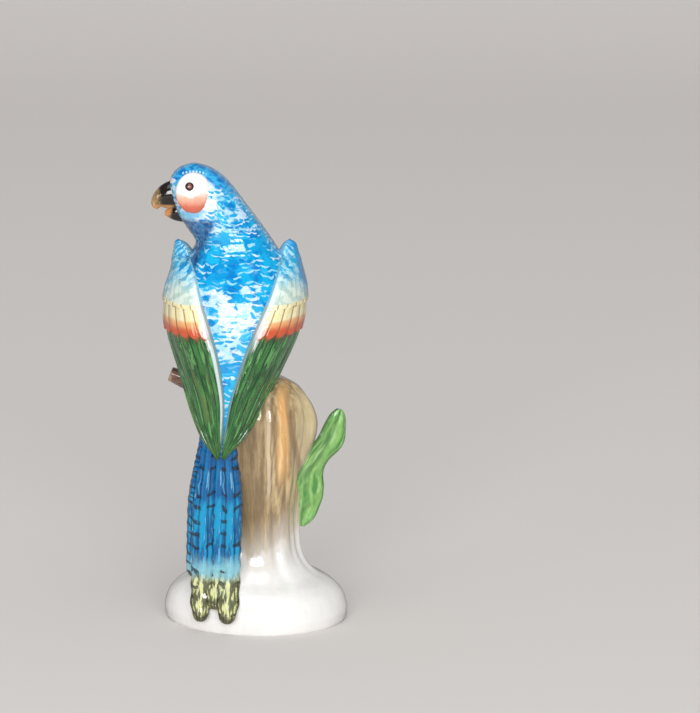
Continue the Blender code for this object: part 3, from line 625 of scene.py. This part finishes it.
def plumage(glaze):
    """Pale blue to white scales with strokes of azure, deeper on the crown and at the throat, and pale
    dabs on the azure painted as glints.
    """
    x, y, z = glaze.x, glaze.y, glaze.z
    across, along = glaze.u * SCALES_ROUND, glaze.v * SCALE_ROWS
    stroke, luck, lower = scale_strokes(glaze, across * 0.9, along, 0.30, 1.92)
    glint_strokes, glint_luck, _ = scale_strokes(glaze, across * 1.15 + 0.3, along * 1.25 + 0.4, 0.16, 2.4)
    blotch = glaze.cloud(5, 2)
    small = glaze.cloud(1.5, 3, (1.8, 1.8, 1))
    behind_cheek = (x + 15.5 - (z - 126) * 0.35 + (blotch - 0.5) * 6).ramp(5.0, 0.0)
    behind_cheek = behind_cheek * z.ramp(110, 116)
    uneven = z + (blotch - 0.5) * 10
    upper_back = uneven.ramp(99, 105) * uneven.ramp(124, 116)
    nape = (x + 6.5 - (125 - z) * 0.23).ramp(-1.5, 2.5) * z.ramp(111, 117)
    rump = uneven.ramp(87, 80)
    flanks = abs(x + 5).ramp(8, 13) * z.ramp(88, 96) * 0.25
    share = (upper_back * 0.84).most(nape * 0.62).most(rump * 0.90).most(flanks + 0.46)
    share = share - behind_cheek * 0.30
    ground = (small * 0.7 + blotch * 0.5 + share * 0.55 - 0.90).ramp(-0.06, 0.06)
    dark_dabs = stroke * (luck - 0.24).ramp(-0.05, 0.10) * (1 - ground)
    # Painted highlights: pale dabs scattered over the azure ground stand in for glints off the scales.
    pale_dab_glints = glint_strokes * (glint_luck - 0.42).ramp(-0.05, 0.10) * ground
    amount = ground * (1 - pale_dab_glints * 0.85) + dark_dabs * 0.95
    pale = glaze.colour(paint(196, 228, 248)).mix(paint(236, 246, 252), small.ramp(0.42, 0.58))
    pale = pale.mix(paint(112, 212, 242), (blotch + share * 0.25).ramp(0.58, 0.74) * 0.7)
    azure = glaze.colour(paint(0, 144, 210)).mix(paint(20, 182, 234), luck)
    deeper = glaze.cloud(3.5, 2, shift=(3, 8, 1)).ramp(0.50, 0.66) * 0.8
    azure = azure.mix(paint(0, 116, 196), deeper)
    colour = pale.mix(azure, amount)
    crown = (z + abs(x + 16.3) * 0.62 + (small - 0.5) * 3).ramp(136.2, 138.0)
    deep_crown = glaze.colour(paint(0, 124, 204)).mix(paint(64, 184, 236), small.ramp(0.42, 0.60))
    colour = colour.mix(deep_crown, crown)
    over_eye = x + 16.3
    spot_x = x.part() - 0.5
    spot_z = z - 137.2 + over_eye * over_eye * 0.05
    spot = (spot_x * spot_x + spot_z * spot_z).ramp(0.14, 0.04) * abs(over_eye).ramp(3.9, 3.4)
    colour = colour.mix(paint(190, 230, 246), spot * y.ramp(0.5, -0.5) * 0.95)
    wedge_x = (x + 23.6) / 1.9
    wedge_z = (z - 133.9 - (x + 23.6) * 0.3) / 0.8
    wedge = (wedge_x * wedge_x + wedge_z * wedge_z).ramp(1.2, 0.7)
    colour = colour.mix(paint(232, 236, 240), wedge)
    bib = z - 124.2 - (x + 19) * (x + 19) * 0.05 + (small - 0.5) * 2.0
    bib = bib.ramp(-1.6, -0.4) * bib.ramp(1.8, 0.6) * (-x).ramp(12, 14.5)
    colour = colour.mix(paint(140, 206, 240), bib * 0.85)
    throat = (x + 15.8 - (z - 113) * 0.40 + (small - 0.5) * 3).ramp(3.0, 1.0)
    throat = throat * z.ramp(124.0, 122.0) * z.ramp(100, 105)
    comb = glaze.cloud(0.7, 3, (1, 1, 4)).ramp(0.40, 0.56)
    deep = glaze.colour(paint(34, 116, 170)).mix(paint(8, 66, 128), comb)
    colour = colour.mix(deep, throat * (0.85 + small.ramp(0.4, 0.55) * 0.15))
    belly = y.ramp(4, 12) * z.ramp(118, 106)
    colour = colour.mix(paint(214, 232, 206), belly * 0.35)
    relief = lower * -0.4 + stroke * 0.3 + small * 0.3
    return glaze.apply(colour, relief, 0.035, small.ramp(0.3, 0.7, 0.05, 0.11))


finish_piece(body, plumage(Glaze("blue plumage under clear glaze")))

# Wings: pressed in two-part moulds and luted on along the body's sides. Three bands show: small
# scalloped coverts, long coverts from cream to orange, and green flight feathers drawn to a point.

# Inner edge: height over the perch and distance aside. Leading edge: height, aside, Y. Bulge
WING_ROWS = [
    (41.3, 16.2, 41.3, 16.8, 3.0, 0.304),
    (40.9, 15.7, 40.9, 16.9, 3.6, 1.368),
    (39.8, 15.1, 40.0, 16.9, 5.0, 2.204),
    (37.0, 14.0, 37.6, 16.8, 7.5, 3.192),
    (32.0, 12.4, 32.8, 16.9, 10.0, 4.712),
    (25.5, 10.4, 26.0, 16.9, 11.0, 6.688),
    (19.0, 7.9, 19.0, 16.7, 10.5, 7.6),
    (12.0, 5.3, 12.0, 15.6, 8.0, 7.448),
    (4.0, 3.1, 4.0, 13.2, 2.5, 6.384),
    (-4.0, 1.4, -3.5, 11.2, -3.8, 5.016),
    (-12.0, 0.7, -10.5, 8.4, -9.8, 3.648),
    (-18.0, 0.3, -16.5, 5.4, -15.0, 2.128),
    (-21.5, 0.1, -20.7, 2.0, -18.3, 0.912),
]

# The small coverts' end and the long coverts' end, as shares of the wing's length
COVERTS_END = (0.44, 0.542)
SMALL_COVERTS = 13
LONG_COVERTS = 9
FLIGHT_FEATHERS = 8

# How far the feathers' round ends reach along the wing, and the quill's place across a feather
SMALL_SCALLOP = 0.012
LONG_SCALLOP = 0.020
QUILL = 0.45

# The share of the wing's section that is its outside
OUTSIDE = 0.74


def midline(height):
    """The X of the bird's middle plane at this height."""
    return LEAN + row_at_height(BODY_ROWS, height - PERCH)[1]


def back_of_body(height, aside):
    """The Y of the bird's back at this height, this far from its middle plane."""
    _, _, middle, half_width, half_depth = row_at_height(BODY_ROWS, height - PERCH)
    share = min(1.0, aside / half_width) ** SQUARENESS
    return middle - half_depth * (1 - share) ** (1 / SQUARENESS)


def wing_frame(side, along):
    """The inner edge, the chord to the leading edge, the way out and the bulge."""
    row = smooth_row(WING_ROWS, min(1.0, max(0.0, along)) * (len(WING_ROWS) - 1))
    inner_height, inner_aside, lead_height, lead_aside, lead_y, bulge = row
    inner_height += PERCH
    lead_height += PERCH
    inner_y = max(back_of_body(inner_height, inner_aside) - 1.0, -20.4)
    inner = Vector((midline(inner_height) + side * inner_aside, inner_y, inner_height))
    lead = Vector((midline(lead_height) + side * lead_aside, lead_y, lead_height))
    chord = lead - inner
    out = Vector((side * abs(chord.y), -abs(chord.x), 0)).normalized()
    return inner, chord, out, bulge


def feather_lift(s, along):
    """Millimetres that the feathers stand out of the wing, s across it and along its length."""
    first, second = COVERTS_END
    covert = (s * LONG_COVERTS) % 1
    flight = (s * FLIGHT_FEATHERS) % 1
    round_end = math.sin(math.pi * covert)
    small = (s * SMALL_COVERTS) % 1
    first += SMALL_SCALLOP * (math.sin(math.pi * small) - 0.5)
    second += LONG_SCALLOP * (round_end - 0.6)
    if along < first:
        rows = along * 20
        n = math.floor(rows)
        cell = (s * SMALL_COVERTS + 0.5 * (n % 2)) % 1 - 0.5
        scale = (rows - n) * (1 - 2.4 * cell * cell)
        return 0.15 + 0.8 * ease(first - 0.12, first, along) + 0.10 * scale
    if along < second:
        return 0.25 + 0.28 * round_end + 0.5 * ease(first, second, along)
    fade = 1 - ease(0.86, 0.98, along)
    groove = 0.12 * math.exp(-(((flight - QUILL) / 0.06) ** 2))
    return (0.55 * (1 - flight) * ease(0.0, 0.35, flight) - groove) * fade


def section_of_wing(side, v):
    """Over the wing's outside for most of u and back under it for the rest."""
    inner, chord, out, bulge = wing_frame(side, v)
    thin = min(1.0, bulge / 3)
    fill = max(0.0, min(1.0, v / 0.02, (1 - v) / 0.015))
    heart = inner + chord * 0.5 + out * bulge * 0.3
    rise = Vector((0, 0, 0.3 if v < 0.5 else -0.6)) * (1 - fill)

    def place(u):
        if u <= OUTSIDE:
            s = u / OUTSIDE
            edge = math.sin(math.pi * s) ** 0.4 if 0 < s < 1 else 0.0
            lift = bulge * math.sin(math.pi * s) + edge * thin * feather_lift(s, v)
        else:
            s = (1 - u) / (1 - OUTSIDE)
            lift = -(1.6 + 0.35 * bulge) * math.sin(math.pi * s) * thin
        point = inner + chord * (1 - math.cos(math.pi * s)) / 2 + out * lift
        return heart + (point - heart) * math.sqrt(fill) + rise

    return place


def wing_paint(glaze):
    """Blue to pale green coverts, cream to orange long coverts and green flight feathers."""
    s = (glaze.u / OUTSIDE).least(1.0)
    v = glaze.v
    small = glaze.cloud(1.2, 3)
    blotch = glaze.cloud(5, 3)
    hair = glaze.cloud(0.5, 3, (1, 1, 6))
    wander = (glaze.cloud(2.2, 2) - 0.5) * 0.02
    right = glaze.x.ramp(LEAN - 1, LEAN + 1)
    first, second = COVERTS_END
    covert = (s * LONG_COVERTS).part()
    covert_round = (covert * math.pi).wave()
    first_edge = first - SMALL_SCALLOP
    second_edge = second + (covert_round - 0.6) * LONG_SCALLOP

    bands = v * 22 - s * 5.0 + (glaze.cloud(2.6, 1) - 0.5) * 1.3
    luck = glaze.chance(bands.floor(), (s * 7).floor())
    stroke = abs(bands.part() - 0.5).ramp(0.34, 0.20) * glaze.cloud(1.6, 1).ramp(0.32, 0.40)
    stroke = stroke * (1 - (v + wander * 2).ramp(0.30, 0.38) * 0.2)
    stroke = stroke * luck.ramp(0.05, 0.25, 0.4, 1.0)
    azure = glaze.colour(paint(0, 140, 204)).mix(paint(20, 176, 224), blotch.ramp(0.4, 0.6))
    pale = glaze.colour(paint(96, 200, 236)).mix(paint(176, 226, 240), small.ramp(0.4, 0.6))
    blue_end = v + (small - 0.5) * 0.16 - s.ramp(0.25, 0.55) * right * 0.32
    pale = pale.mix(paint(0, 148, 218), blue_end.ramp(0.20, 0.10) * 0.95)
    green_start = v + wander * 4 - s.ramp(0.25, 0.75) * 0.09
    pale = pale.mix(paint(220, 234, 222), green_start.ramp(0.30, 0.40))
    line = azure.mix(paint(140, 184, 172), green_start.ramp(0.30, 0.40))
    coverts = pale.mix(line, stroke * v.ramp(0.30, 0.42, 0.95, 0.55))

    down = ((v - first) / (second - first)).ramp(0.0, 1.0)
    cream = glaze.colour(paint(248, 240, 198)).mix(paint(242, 230, 150), small.ramp(0.4, 0.7) * 0.8)
    cream = cream.mix(paint(240, 174, 116), (down + (blotch - 0.5) * 0.3).ramp(0.36, 0.62))
    cream = cream.mix(paint(208, 88, 52), (down + (blotch - 0.5) * 0.3).ramp(0.60, 0.96))
    between = abs(covert - 0.5).ramp(0.40, 0.47)
    fork = abs(covert - 0.5 + (small - 0.5) * 0.3).ramp(0.05, 0.01) * down.ramp(0.9, 0.3) * 0.25
    cream = cream.mix(paint(146, 84, 44), between * 0.75).mix(paint(176, 150, 90), fork)

    flight = (s * FLIGHT_FEATHERS).part()
    stroke_run = glaze.brush(20, 9, 3)
    green = glaze.colour(paint(56, 124, 58)).mix(paint(26, 78, 36), stroke_run.ramp(0.40, 0.56))
    olive = glaze.brush(14, 6, 2).ramp(0.52, 0.62) * 0.5 * (1 - right * 0.6)
    green = green.mix(paint(100, 122, 64), olive)
    lit = (stroke_run + flight.ramp(1.0, 0.2) * 0.06).ramp(0.58, 0.68)
    green = green.mix(paint(100, 168, 92), lit * 0.75)
    from_quill = abs(flight - QUILL)
    barb = abs((v * 20 + from_quill * 3.2 + (small - 0.5) * 2.0).part() - 0.5)
    barb = barb.ramp(0.11, 0.03) * blotch.ramp(0.44, 0.52)
    green = green.mix(paint(12, 44, 24), barb * 0.85)
    quill_line = from_quill.ramp(0.03, 0.01) * blotch.ramp(0.46, 0.54) * 0.6
    rim = abs(flight - 0.5).ramp(0.42, 0.47).most(quill_line)
    green = green.mix(paint(12, 38, 24), rim * 0.85)
    green = green.mix(paint(24, 60, 36), s.ramp(0.03, 0.012) * 0.8)

    edge_line = abs(v - second_edge - 0.006).ramp(0.007, 0.002) * 0.45
    colour = coverts.mix(cream, (v - first_edge + wander * 0.3).ramp(-0.004, 0.004))
    colour = colour.mix(green, (v - second_edge).ramp(-0.002, 0.004))
    colour = colour.mix(paint(150, 62, 40), edge_line)
    strip = s.ramp(0.06, 0.035) * v.ramp(0.62, 0.50) * v.ramp(0.3, 0.4)
    thin_strip = s.ramp(0.05, 0.03) * v.ramp(0.92, 0.80) * v.ramp(0.5, 0.6) * (1 - right)
    colour = colour.mix(paint(222, 234, 238), strip.most(thin_strip) * 0.85)
    under = (glaze.u - OUTSIDE).ramp(0.0, 0.01)
    colour = colour.mix(paint(150, 190, 196), under * 0.6)
    relief = stroke * 0.3 - between * 0.4 + hair * 0.35 - barb * 0.25
    return glaze.apply(colour, relief, 0.10, small.ramp(0.3, 0.7, 0.06, 0.14))


wing_glaze = wing_paint(Glaze("wing colours under clear glaze"))
for side, name in ((-1, "left_wing"), (1, "right_wing")):
    wing = formed(name, 300, 300, lambda v: section_of_wing(side, v))
    finish_piece(wing, wing_glaze)

# Tail: long narrow feathers modelled side by side on a web of clay that joins them to the stump,
# their tips resting on the mound. Blue, barred in black, with pale yellow ends.

FEATHER_WIDTH = 6.6
FEATHER_THICKNESS = 4.0

# Distance aside, share of length, width share, depth under the top feathers, root drop
TAIL_FEATHERS = {
    "tail_middle": (0.3, 0.935, 1.1, 1.3, 1.2),
    "tail_left_third": (-6.6, 0.42, 0.66, 1.2, 1.9),
    "tail_left_second": (-6.9, 0.62, 0.62, 1.7, 2.6),
    "tail_left_first": (-7.1, 0.80, 0.6, 2.3, 3.4),
    "tail_right_second": (5.5, 0.66, 0.62, 1.5, 2.2),
    "tail_right_first": (5.2, 0.83, 0.66, 2.1, 3.0),
    "tail_left_long": (-4.1, 1.0, 1.0, 0.0, 0.0),
    "tail_right_long": (3.9, 0.995, 1.04, 0.3, 0.6),
}
TAIL_ROOT = PERCH - 11
TAIL_TIP = 3.4


def front_of_mound(x, height):
    """How far the mound or stump reaches towards -Y at this height, at this X."""
    row = row_at_height(STUMP_ROWS, height)
    steps = [math.radians(-150 + 3 * i) for i in range(41)]
    return min((stump_point(row, a) for a in steps), key=lambda p: abs(p.x - x)).y


def tail_point(height, aside, under):
    """The middle of a feather's thickness: down the stump, then out over the mound."""
    down = (TAIL_ROOT - height) / (TAIL_ROOT - TAIL_TIP)
    spread_out = 0.6 + 0.4 * ease(0.0, 0.45, down)
    x = LEAN - 3.2 - 1.8 * down + aside * spread_out
    resting = front_of_mound(x, height) - 1.4 - ease(0.85, 0.97, down) + under * 0.5
    return Vector((x, min(-15.5 - 1.0 * down + under, resting), height))


def section_of_tail_feather(feather, v):
    """A flattened feather with a raised quill, from its root to its rounded tip."""
    aside, length_share, width_share, under, root_drop = feather
    root = TAIL_ROOT - root_drop
    tip = TAIL_ROOT - (TAIL_ROOT - TAIL_TIP) * length_share
    into_tip = max(0.0, 1 - (1 - v) / 0.12)
    rounding = math.sqrt(max(0.0, 1 - into_tip**2.2))
    into_root = 1 - min(1.0, v / 0.02)
    rounding *= math.sqrt(1 - into_root**2)
    grow = 0.75 + 0.25 * ease(0.0, 0.5, v)
    half = rounding * FEATHER_WIDTH * width_share * grow / 2
    thick = rounding * FEATHER_THICKNESS * (0.8 + 0.2 * width_share) / 2
    half *= 1 + 0.05 * math.sin(v * 75 + width_share * 9)
    centre = tail_point(root + (tip - root) * v, aside, under)

    def place(u):
        angle = 2 * math.pi * u
        facing = max(0.0, -math.sin(angle))
        quill = 0.5 * facing**14 * rounding
        barbs = 0.05 * math.sin(v * 260 + abs(math.cos(angle)) * 5) * facing * rounding
        y = thick * math.sin(angle) - quill - barbs
        return centre + Vector((half * math.cos(angle), y, 0))

    return place


def tail_paint(glaze):
    """Azure with deep blue painted shade in the grooves by the quill and between feathers, a pale painted
    highlight beside the quill, black bars on each edge and pale yellow, barred tips.
    """
    z = glaze.z
    across = (glaze.u * 2 * math.pi + math.pi / 2).wave()
    small = glaze.cloud(1.1, 3)
    blotch = glaze.cloud(5, 3)
    hair = glaze.cloud(0.45, 3, (1, 1, 5))
    run = glaze.brush(16, 5, 3)
    blue = glaze.colour(paint(0, 150, 200)).mix(paint(0, 92, 150), run.ramp(0.44, 0.58))
    blue = blue.mix(paint(100, 196, 226), run.ramp(0.60, 0.70) * 0.8)
    blue = blue.mix(paint(0, 84, 150), z.ramp(36, 54) * 0.75)
    # Painted shade: deep blue in the grooves beside each quill and where the feathers meet.
    groove = abs(abs(across) - 0.42).ramp(0.12, 0.02).most(abs(across).ramp(0.80, 0.96))
    blue = blue.mix(paint(0, 34, 76), groove * (0.4 + run * 0.6))
    # Painted highlight: a pale streak along one side of the quill's ridge.
    light = abs(across - 0.14).ramp(0.08, 0.02) * glaze.brush(9, 9, 3).ramp(0.52, 0.60)
    blue = blue.mix(paint(140, 206, 236), light * 0.6)
    low = z + (blotch - 0.5) * 6
    pale = blue.mix(paint(150, 208, 216), low.ramp(24, 18) * 0.8)
    pale = pale.mix(paint(226, 226, 160), low.ramp(18, 14) * 0.95)
    bars = glaze.v * 15 + across * across * 0.30 + (blotch - 0.5) * 1.2
    wanted = glaze.chance(bars.floor(), across.ramp(-0.01, 0.01)).ramp(0.20, 0.30)
    bar = abs(bars.part() - 0.5).ramp(0.20, 0.09) * abs(across).ramp(0.22, 0.34) * wanted
    bar = bar * z.ramp(62, 54) * hair.ramp(0.30, 0.42)
    dense = glaze.brush(22, 14, 3).ramp(0.46, 0.54)
    bar = bar.most(dense * low.ramp(19, 14) * 0.95)
    edge = abs(across).ramp(0.90, 0.985) * hair.ramp(0.35, 0.55)
    colour = pale.mix(paint(20, 28, 36), bar * 0.85).mix(paint(14, 24, 36), edge * 0.8)
    olive = (abs(across) + (hair - 0.5) * 0.5).ramp(0.66, 0.86) * low.ramp(18, 12)
    tip = (glaze.v + (hair - 0.5) * 0.05).ramp(0.94, 0.975).most(olive)
    colour = colour.mix(paint(58, 54, 30), tip * 0.85)
    relief = hair * 0.4 + small * 0.3
    return glaze.apply(colour, relief, 0.10, small.ramp(0.3, 0.7, 0.06, 0.14))


tail_glaze = tail_paint(Glaze("tail blue under clear glaze"))
for name, feather in TAIL_FEATHERS.items():
    made = formed(name, 64, 150, lambda v: section_of_tail_feather(feather, v))
    finish_piece(made, tail_glaze)


BED_FOOT = 9.9
BED_HALF_WIDTH = 6.4
BED_END = 0.03


def section_of_bed(v):
    """The web behind the feathers, from the mound to the tail's root."""
    share = min(1.0, max(0.0, (v - BED_END) / (1 - 2 * BED_END)))
    height = BED_FOOT + (TAIL_ROOT - 3 - BED_FOOT) * share
    outside = tail_point(height, 0.0, 0.0)
    front = outside.y - 0.4
    back = -0.35 * STUMP_RADIUS
    fill = min(1.0, v / BED_END, (1 - v) / BED_END)

    def place(u):
        c, s = math.cos(2 * math.pi * u), math.sin(2 * math.pi * u)
        x = BED_HALF_WIDTH * math.copysign(abs(c) ** 0.6, c) * fill
        y = (back - front) / 2 * math.copysign(abs(s) ** 0.6, s) * fill
        return Vector((outside.x + 0.8 + x, (front + back) / 2 + y, height))

    return place


finish_piece(formed("tail_bed", 60, 80, section_of_bed), bark_glaze)

# Face: a bare cheek raised on each side of the head with the eye on it. White, blushed with peach
# to coral below, the eye ringed in dark brown.

CHEEK_RADII = (5.4, 2.4, 6.1)
EYE_RADII = (1.35, 0.95, 1.35)
FACE = Vector((LEAN - 8.67, 0.55, 131.6))
FACE_TURN = Matrix.Rotation(math.radians(8), 3, "Z")


def section_of_ball(centre, radii, turn, v):
    """A flattened ball whose poles lie along Y."""
    around = math.sin(math.pi * v)
    aside = -math.cos(math.pi * v) * radii[1]

    def place(u):
        x = around * math.cos(2 * math.pi * u) * radii[0]
        z = around * math.sin(2 * math.pi * u) * radii[2]
        return centre + turn @ Vector((x, aside, z))

    return place


def cheek_paint(glaze):
    """White above, peach in the middle and coral at the bottom."""
    small = glaze.cloud(1.6, 3)
    z = glaze.z + (small - 0.5) * 1.6
    colour = glaze.colour(paint(246, 242, 238)).mix(paint(238, 190, 164), z.ramp(132.0, 129.8))
    colour = colour.mix(paint(214, 104, 78), z.ramp(130.4, 126.8) * 0.95)
    return glaze.apply(colour, small, 0.04)


def eye_paint(glaze, side):
    """A dark ring, a red-brown iris and a dark pupil."""
    out = glaze.v if side > 0 else 1 - glaze.v
    colour = glaze.colour(paint(146, 84, 70)).mix(paint(58, 32, 30), out.ramp(0.88, 0.80))
    colour = colour.mix(paint(54, 26, 24), out.ramp(0.93, 0.95))
    return glaze.apply(colour, glaze.cloud(2, 1), 0.02)


for side, name in ((-1, "near"), (1, "far")):
    cheek_at = FACE + FACE_TURN @ Vector((-3.2, side * (8.9 - 1.4), -0.4))
    turn = FACE_TURN @ Matrix.Rotation(side * math.radians(12), 3, "X")
    cheek = formed(
        f"{name}_cheek", 64, 40, lambda v: section_of_ball(cheek_at, CHEEK_RADII, turn, v)
    )
    finish_piece(cheek, cheek_paint(Glaze(f"{name} cheek blush")))
    eye_at = cheek_at + turn @ Vector((-1.4, side * 2.0, 1.8))
    eye = formed(f"{name}_eye", 40, 30, lambda v: section_of_ball(eye_at, EYE_RADII, turn, v))
    finish_piece(eye, eye_paint(Glaze(f"{name} eye brown"), side))

# Beak: two small horns rolled by hand, luted to the face. Black at the root, horn-coloured along
# the upper ridge and at the tip, with an orange mouth between them.

UPPER_BEAK = [
    (0.5, 0, -1.6, 5.0),
    (-3.6, 0, -1.9, 4.4),
    (-6.3, 0, -2.9, 3.4),
    (-7.9, 0, -4.2, 2.1),
    (-8.4, 0, -5.8, 0.6),
]
LOWER_BEAK = [(0.8, 0, -7.0, 3.2), (-2.6, 0, -7.2, 2.3), (-5.6, 0, -7.1, 0.7)]
BEAK_ROOT = FACE + Vector((-CHEEK_RADII[0], 0.0, -0.6))
BEAK_WIDTH = 6.6
BEAK_HEIGHT = 9.4


def section_of_beak(stations, v):
    """A bent horn, narrower than it is tall, turned with the face."""
    on_rod = section_of_rod(stations, v)

    def place(u):
        point = on_rod(u)
        point.y *= BEAK_WIDTH / BEAK_HEIGHT
        return BEAK_ROOT + FACE_TURN @ point

    return place


def beak_paint(glaze):
    """Black brushed over horn, thinnest along the ridge and the tip."""
    small = glaze.cloud(1.0, 3)
    streak = glaze.cloud(1.2, 3, (1, 1, 4))
    horn = glaze.colour(paint(170, 138, 90)).mix(paint(224, 196, 150), streak.ramp(0.42, 0.60))
    x, z = glaze.x + (small - 0.5) * 2.4, glaze.z
    fore = (x + (z - 128) * 0.12).ramp(-25.6, -28.6) * z.ramp(137.0, 134.6)
    low_fore = (x - (z - 124) * 0.3).ramp(-22.6, -24.2) * z.ramp(127.0, 126.2)
    colour = glaze.colour(paint(32, 26, 22)).mix(horn, fore * 0.92)
    colour = colour.mix(paint(206, 146, 88), low_fore * 0.9)
    return glaze.apply(colour, streak, 0.08)


beak_glaze = beak_paint(Glaze("beak black over horn"))
for name, stations in (("upper_beak", UPPER_BEAK), ("lower_beak", LOWER_BEAK)):
    half = formed(name, 56, 70, lambda v: section_of_beak(stations, v))
    finish_piece(half, beak_glaze)

# Feet: feathered thighs that come down on the branch, and three toes of each that curl round it,
# modelled by hand. The toes are grey-brown with darker claws.


def thigh_paint(glaze):
    """Pale blue-white with blue brush dabs."""
    stroke, _, _ = scale_strokes(glaze, glaze.u * 12, glaze.v * 9)
    colour = glaze.colour(paint(206, 228, 226)).mix(paint(70, 160, 216), stroke * 0.8)
    return glaze.apply(colour, stroke, 0.08)


def toe_paint(glaze):
    """Grey-brown rings and a dark claw at the end."""
    ring = (glaze.v * 46).wave()
    colour = glaze.colour(paint(128, 116, 104)).mix(paint(84, 74, 66), ring.ramp(0.0, 0.8) * 0.6)
    colour = colour.mix(paint(40, 34, 32), glaze.v.ramp(0.84, 0.9))
    return glaze.apply(colour, ring, 0.08)


thigh_glaze = thigh_paint(Glaze("thigh plumage under clear glaze"))
toe_glaze = toe_paint(Glaze("toe grey under clear glaze"))
for side, name in ((-1, "left"), (1, "right")):
    at = LEAN + side * 6.0
    thigh_line = [(at, 5, 88, 6.5), (at, 7.6, 79, 5.4), (at, 6.8, 70.4, 2.8)]
    thigh = formed(f"{name}_thigh", 60, 60, lambda v: section_of_rod(thigh_line, v))
    finish_piece(thigh, thigh_glaze)
    for toe, size in ((-1, 0.92), (0, 1.12), (1, 1.0)):
        reach = 8.4 * size**0.3
        toe_line = [
            (at + toe * 0.8, 6.6, 71.2, 2.0 * size),
            (at + toe * 2.4, reach, 70.2, 1.6 * size),
            ((at + toe * 2.4) * 1.02, reach - 1.8, 70 - 2.4 * size, 0.9),
        ]
        made = formed(f"{name}_toe_{toe + 2}", 32, 48, lambda v: section_of_rod(toe_line, v))
        finish_piece(made, toe_glaze)

# Studio: a pale card that curves up behind, soft window-shaped lamps and a long lens that looks
# down a little. None of it belongs to the object. These sizes are in metres.

CARD_WIDTH = 8.0
CARD_LENGTH = 4.2
CARD_FRONT = -1.6
BEND_START = 1.0
BEND_RADIUS = 0.6
BEND_LENGTH = 0.9

sweep = bmesh.new()
bmesh.ops.create_grid(sweep, x_segments=1, y_segments=48, size=0.5)
for vert in sweep.verts:
    run = CARD_FRONT + CARD_LENGTH * (vert.co.y + 0.5)
    bend = max(0.0, run - BEND_START)
    turned = min(1.0, bend / BEND_LENGTH) * math.pi / 2
    y = min(run, BEND_START) + BEND_RADIUS * math.sin(turned)
    z = BEND_RADIUS * (1 - math.cos(turned)) + max(0.0, bend - BEND_LENGTH)
    vert.co = Vector((vert.co.x * CARD_WIDTH, y, z))
sweep_mesh = bpy.data.meshes.new("sweep")
sweep.to_mesh(sweep_mesh)
sweep.free()
sweep_mesh.shade_smooth()
backdrop = bpy.data.objects.new("sweep", sweep_mesh)
bpy.context.scene.collection.objects.link(backdrop)
card = bpy.data.materials.new("warm grey card")
card.use_nodes = True
card_shader = card.node_tree.nodes["Principled BSDF"]
shade = Wire(card.node_tree, None).node("ShaderNodeLightPath", output="Is Glossy Ray")
tones = {0: shade, 6: paint(220, 216, 212), 7: paint(164, 162, 160)}
dimmed = shade.node("ShaderNodeMix", {"data_type": "RGBA"}, tones, 2)
card.node_tree.links.new(dimmed.socket, card_shader.inputs["Base Color"])
card_shader.inputs["Roughness"].default_value = 0.9
card_shader.inputs["Specular IOR Level"].default_value = 0.1
sweep_mesh.materials.append(card)

# The lens aims to the right of the figurine, which so stands left of the picture's middle
AIM = Vector((0.03007, 0.0, 0.0802))
ELEVATION = math.radians(12)
DISTANCE = 1.6
PICTURE_WIDTH = 0.210
lens = bpy.data.cameras.new("long lens")
lens.sensor_fit = "HORIZONTAL"
lens.sensor_width = 36.0
lens.lens = lens.sensor_width * DISTANCE / PICTURE_WIDTH
lens.clip_start = 0.01
camera = bpy.data.objects.new("camera", lens)
camera.location = AIM + DISTANCE * Vector((0, -math.cos(ELEVATION), math.sin(ELEVATION)))
camera.rotation_euler = (math.radians(90) - ELEVATION, 0, 0)
bpy.context.scene.collection.objects.link(camera)
bpy.context.scene.camera = camera


def softbox(name, at, aim, width, height, watts):
    """A soft lamp of this width and height that faces the aim."""
    light = bpy.data.lights.new(name, "AREA")
    light.shape = "RECTANGLE"
    light.size = width
    light.size_y = height
    light.energy = watts
    lamp = bpy.data.objects.new(name, light)
    lamp.location = at
    lamp.rotation_euler = (Vector(aim) - Vector(at)).to_track_quat("-Z", "Y").to_euler()
    bpy.context.scene.collection.objects.link(lamp)


softbox("window_left", (-0.42, -2.10, 0.84), (0, 0, 0.10), 0.76, 0.52, 11.0)
softbox("window_right", (0.42, -2.10, 0.84), (0, 0, 0.10), 0.76, 0.52, 11.0)
softbox("low_window_left", (-0.46, -2.40, 0.50), (0, 0, 0.10), 0.80, 0.22, 5.0)
softbox("low_window_right", (0.46, -2.40, 0.50), (0, 0, 0.10), 0.80, 0.22, 5.0)
softbox("sill", (0.10, -2.40, 0.28), (0, 0, 0.10), 0.80, 0.14, 3.0)
softbox("side_left", (-1.6, -1.6, 0.5), (0, 0, 0.02), 0.5, 0.5, 2.5)
softbox("ceiling", (0.0, -1.1, 2.4), (0, 0, 0.05), 2.4, 1.6, 14.0)

world = bpy.data.worlds.new("studio")
world.use_nodes = True
glow = world.node_tree.nodes["Background"]
glow.inputs["Color"].default_value = paint(238, 238, 240)
ray = Wire(world.node_tree, None).node("ShaderNodeLightPath", output="Is Glossy Ray")
world.node_tree.links.new((0.62 - ray * 0.54).socket, glow.inputs["Strength"])
bpy.context.scene.world = world
bpy.context.scene.view_settings.view_transform = "Standard"
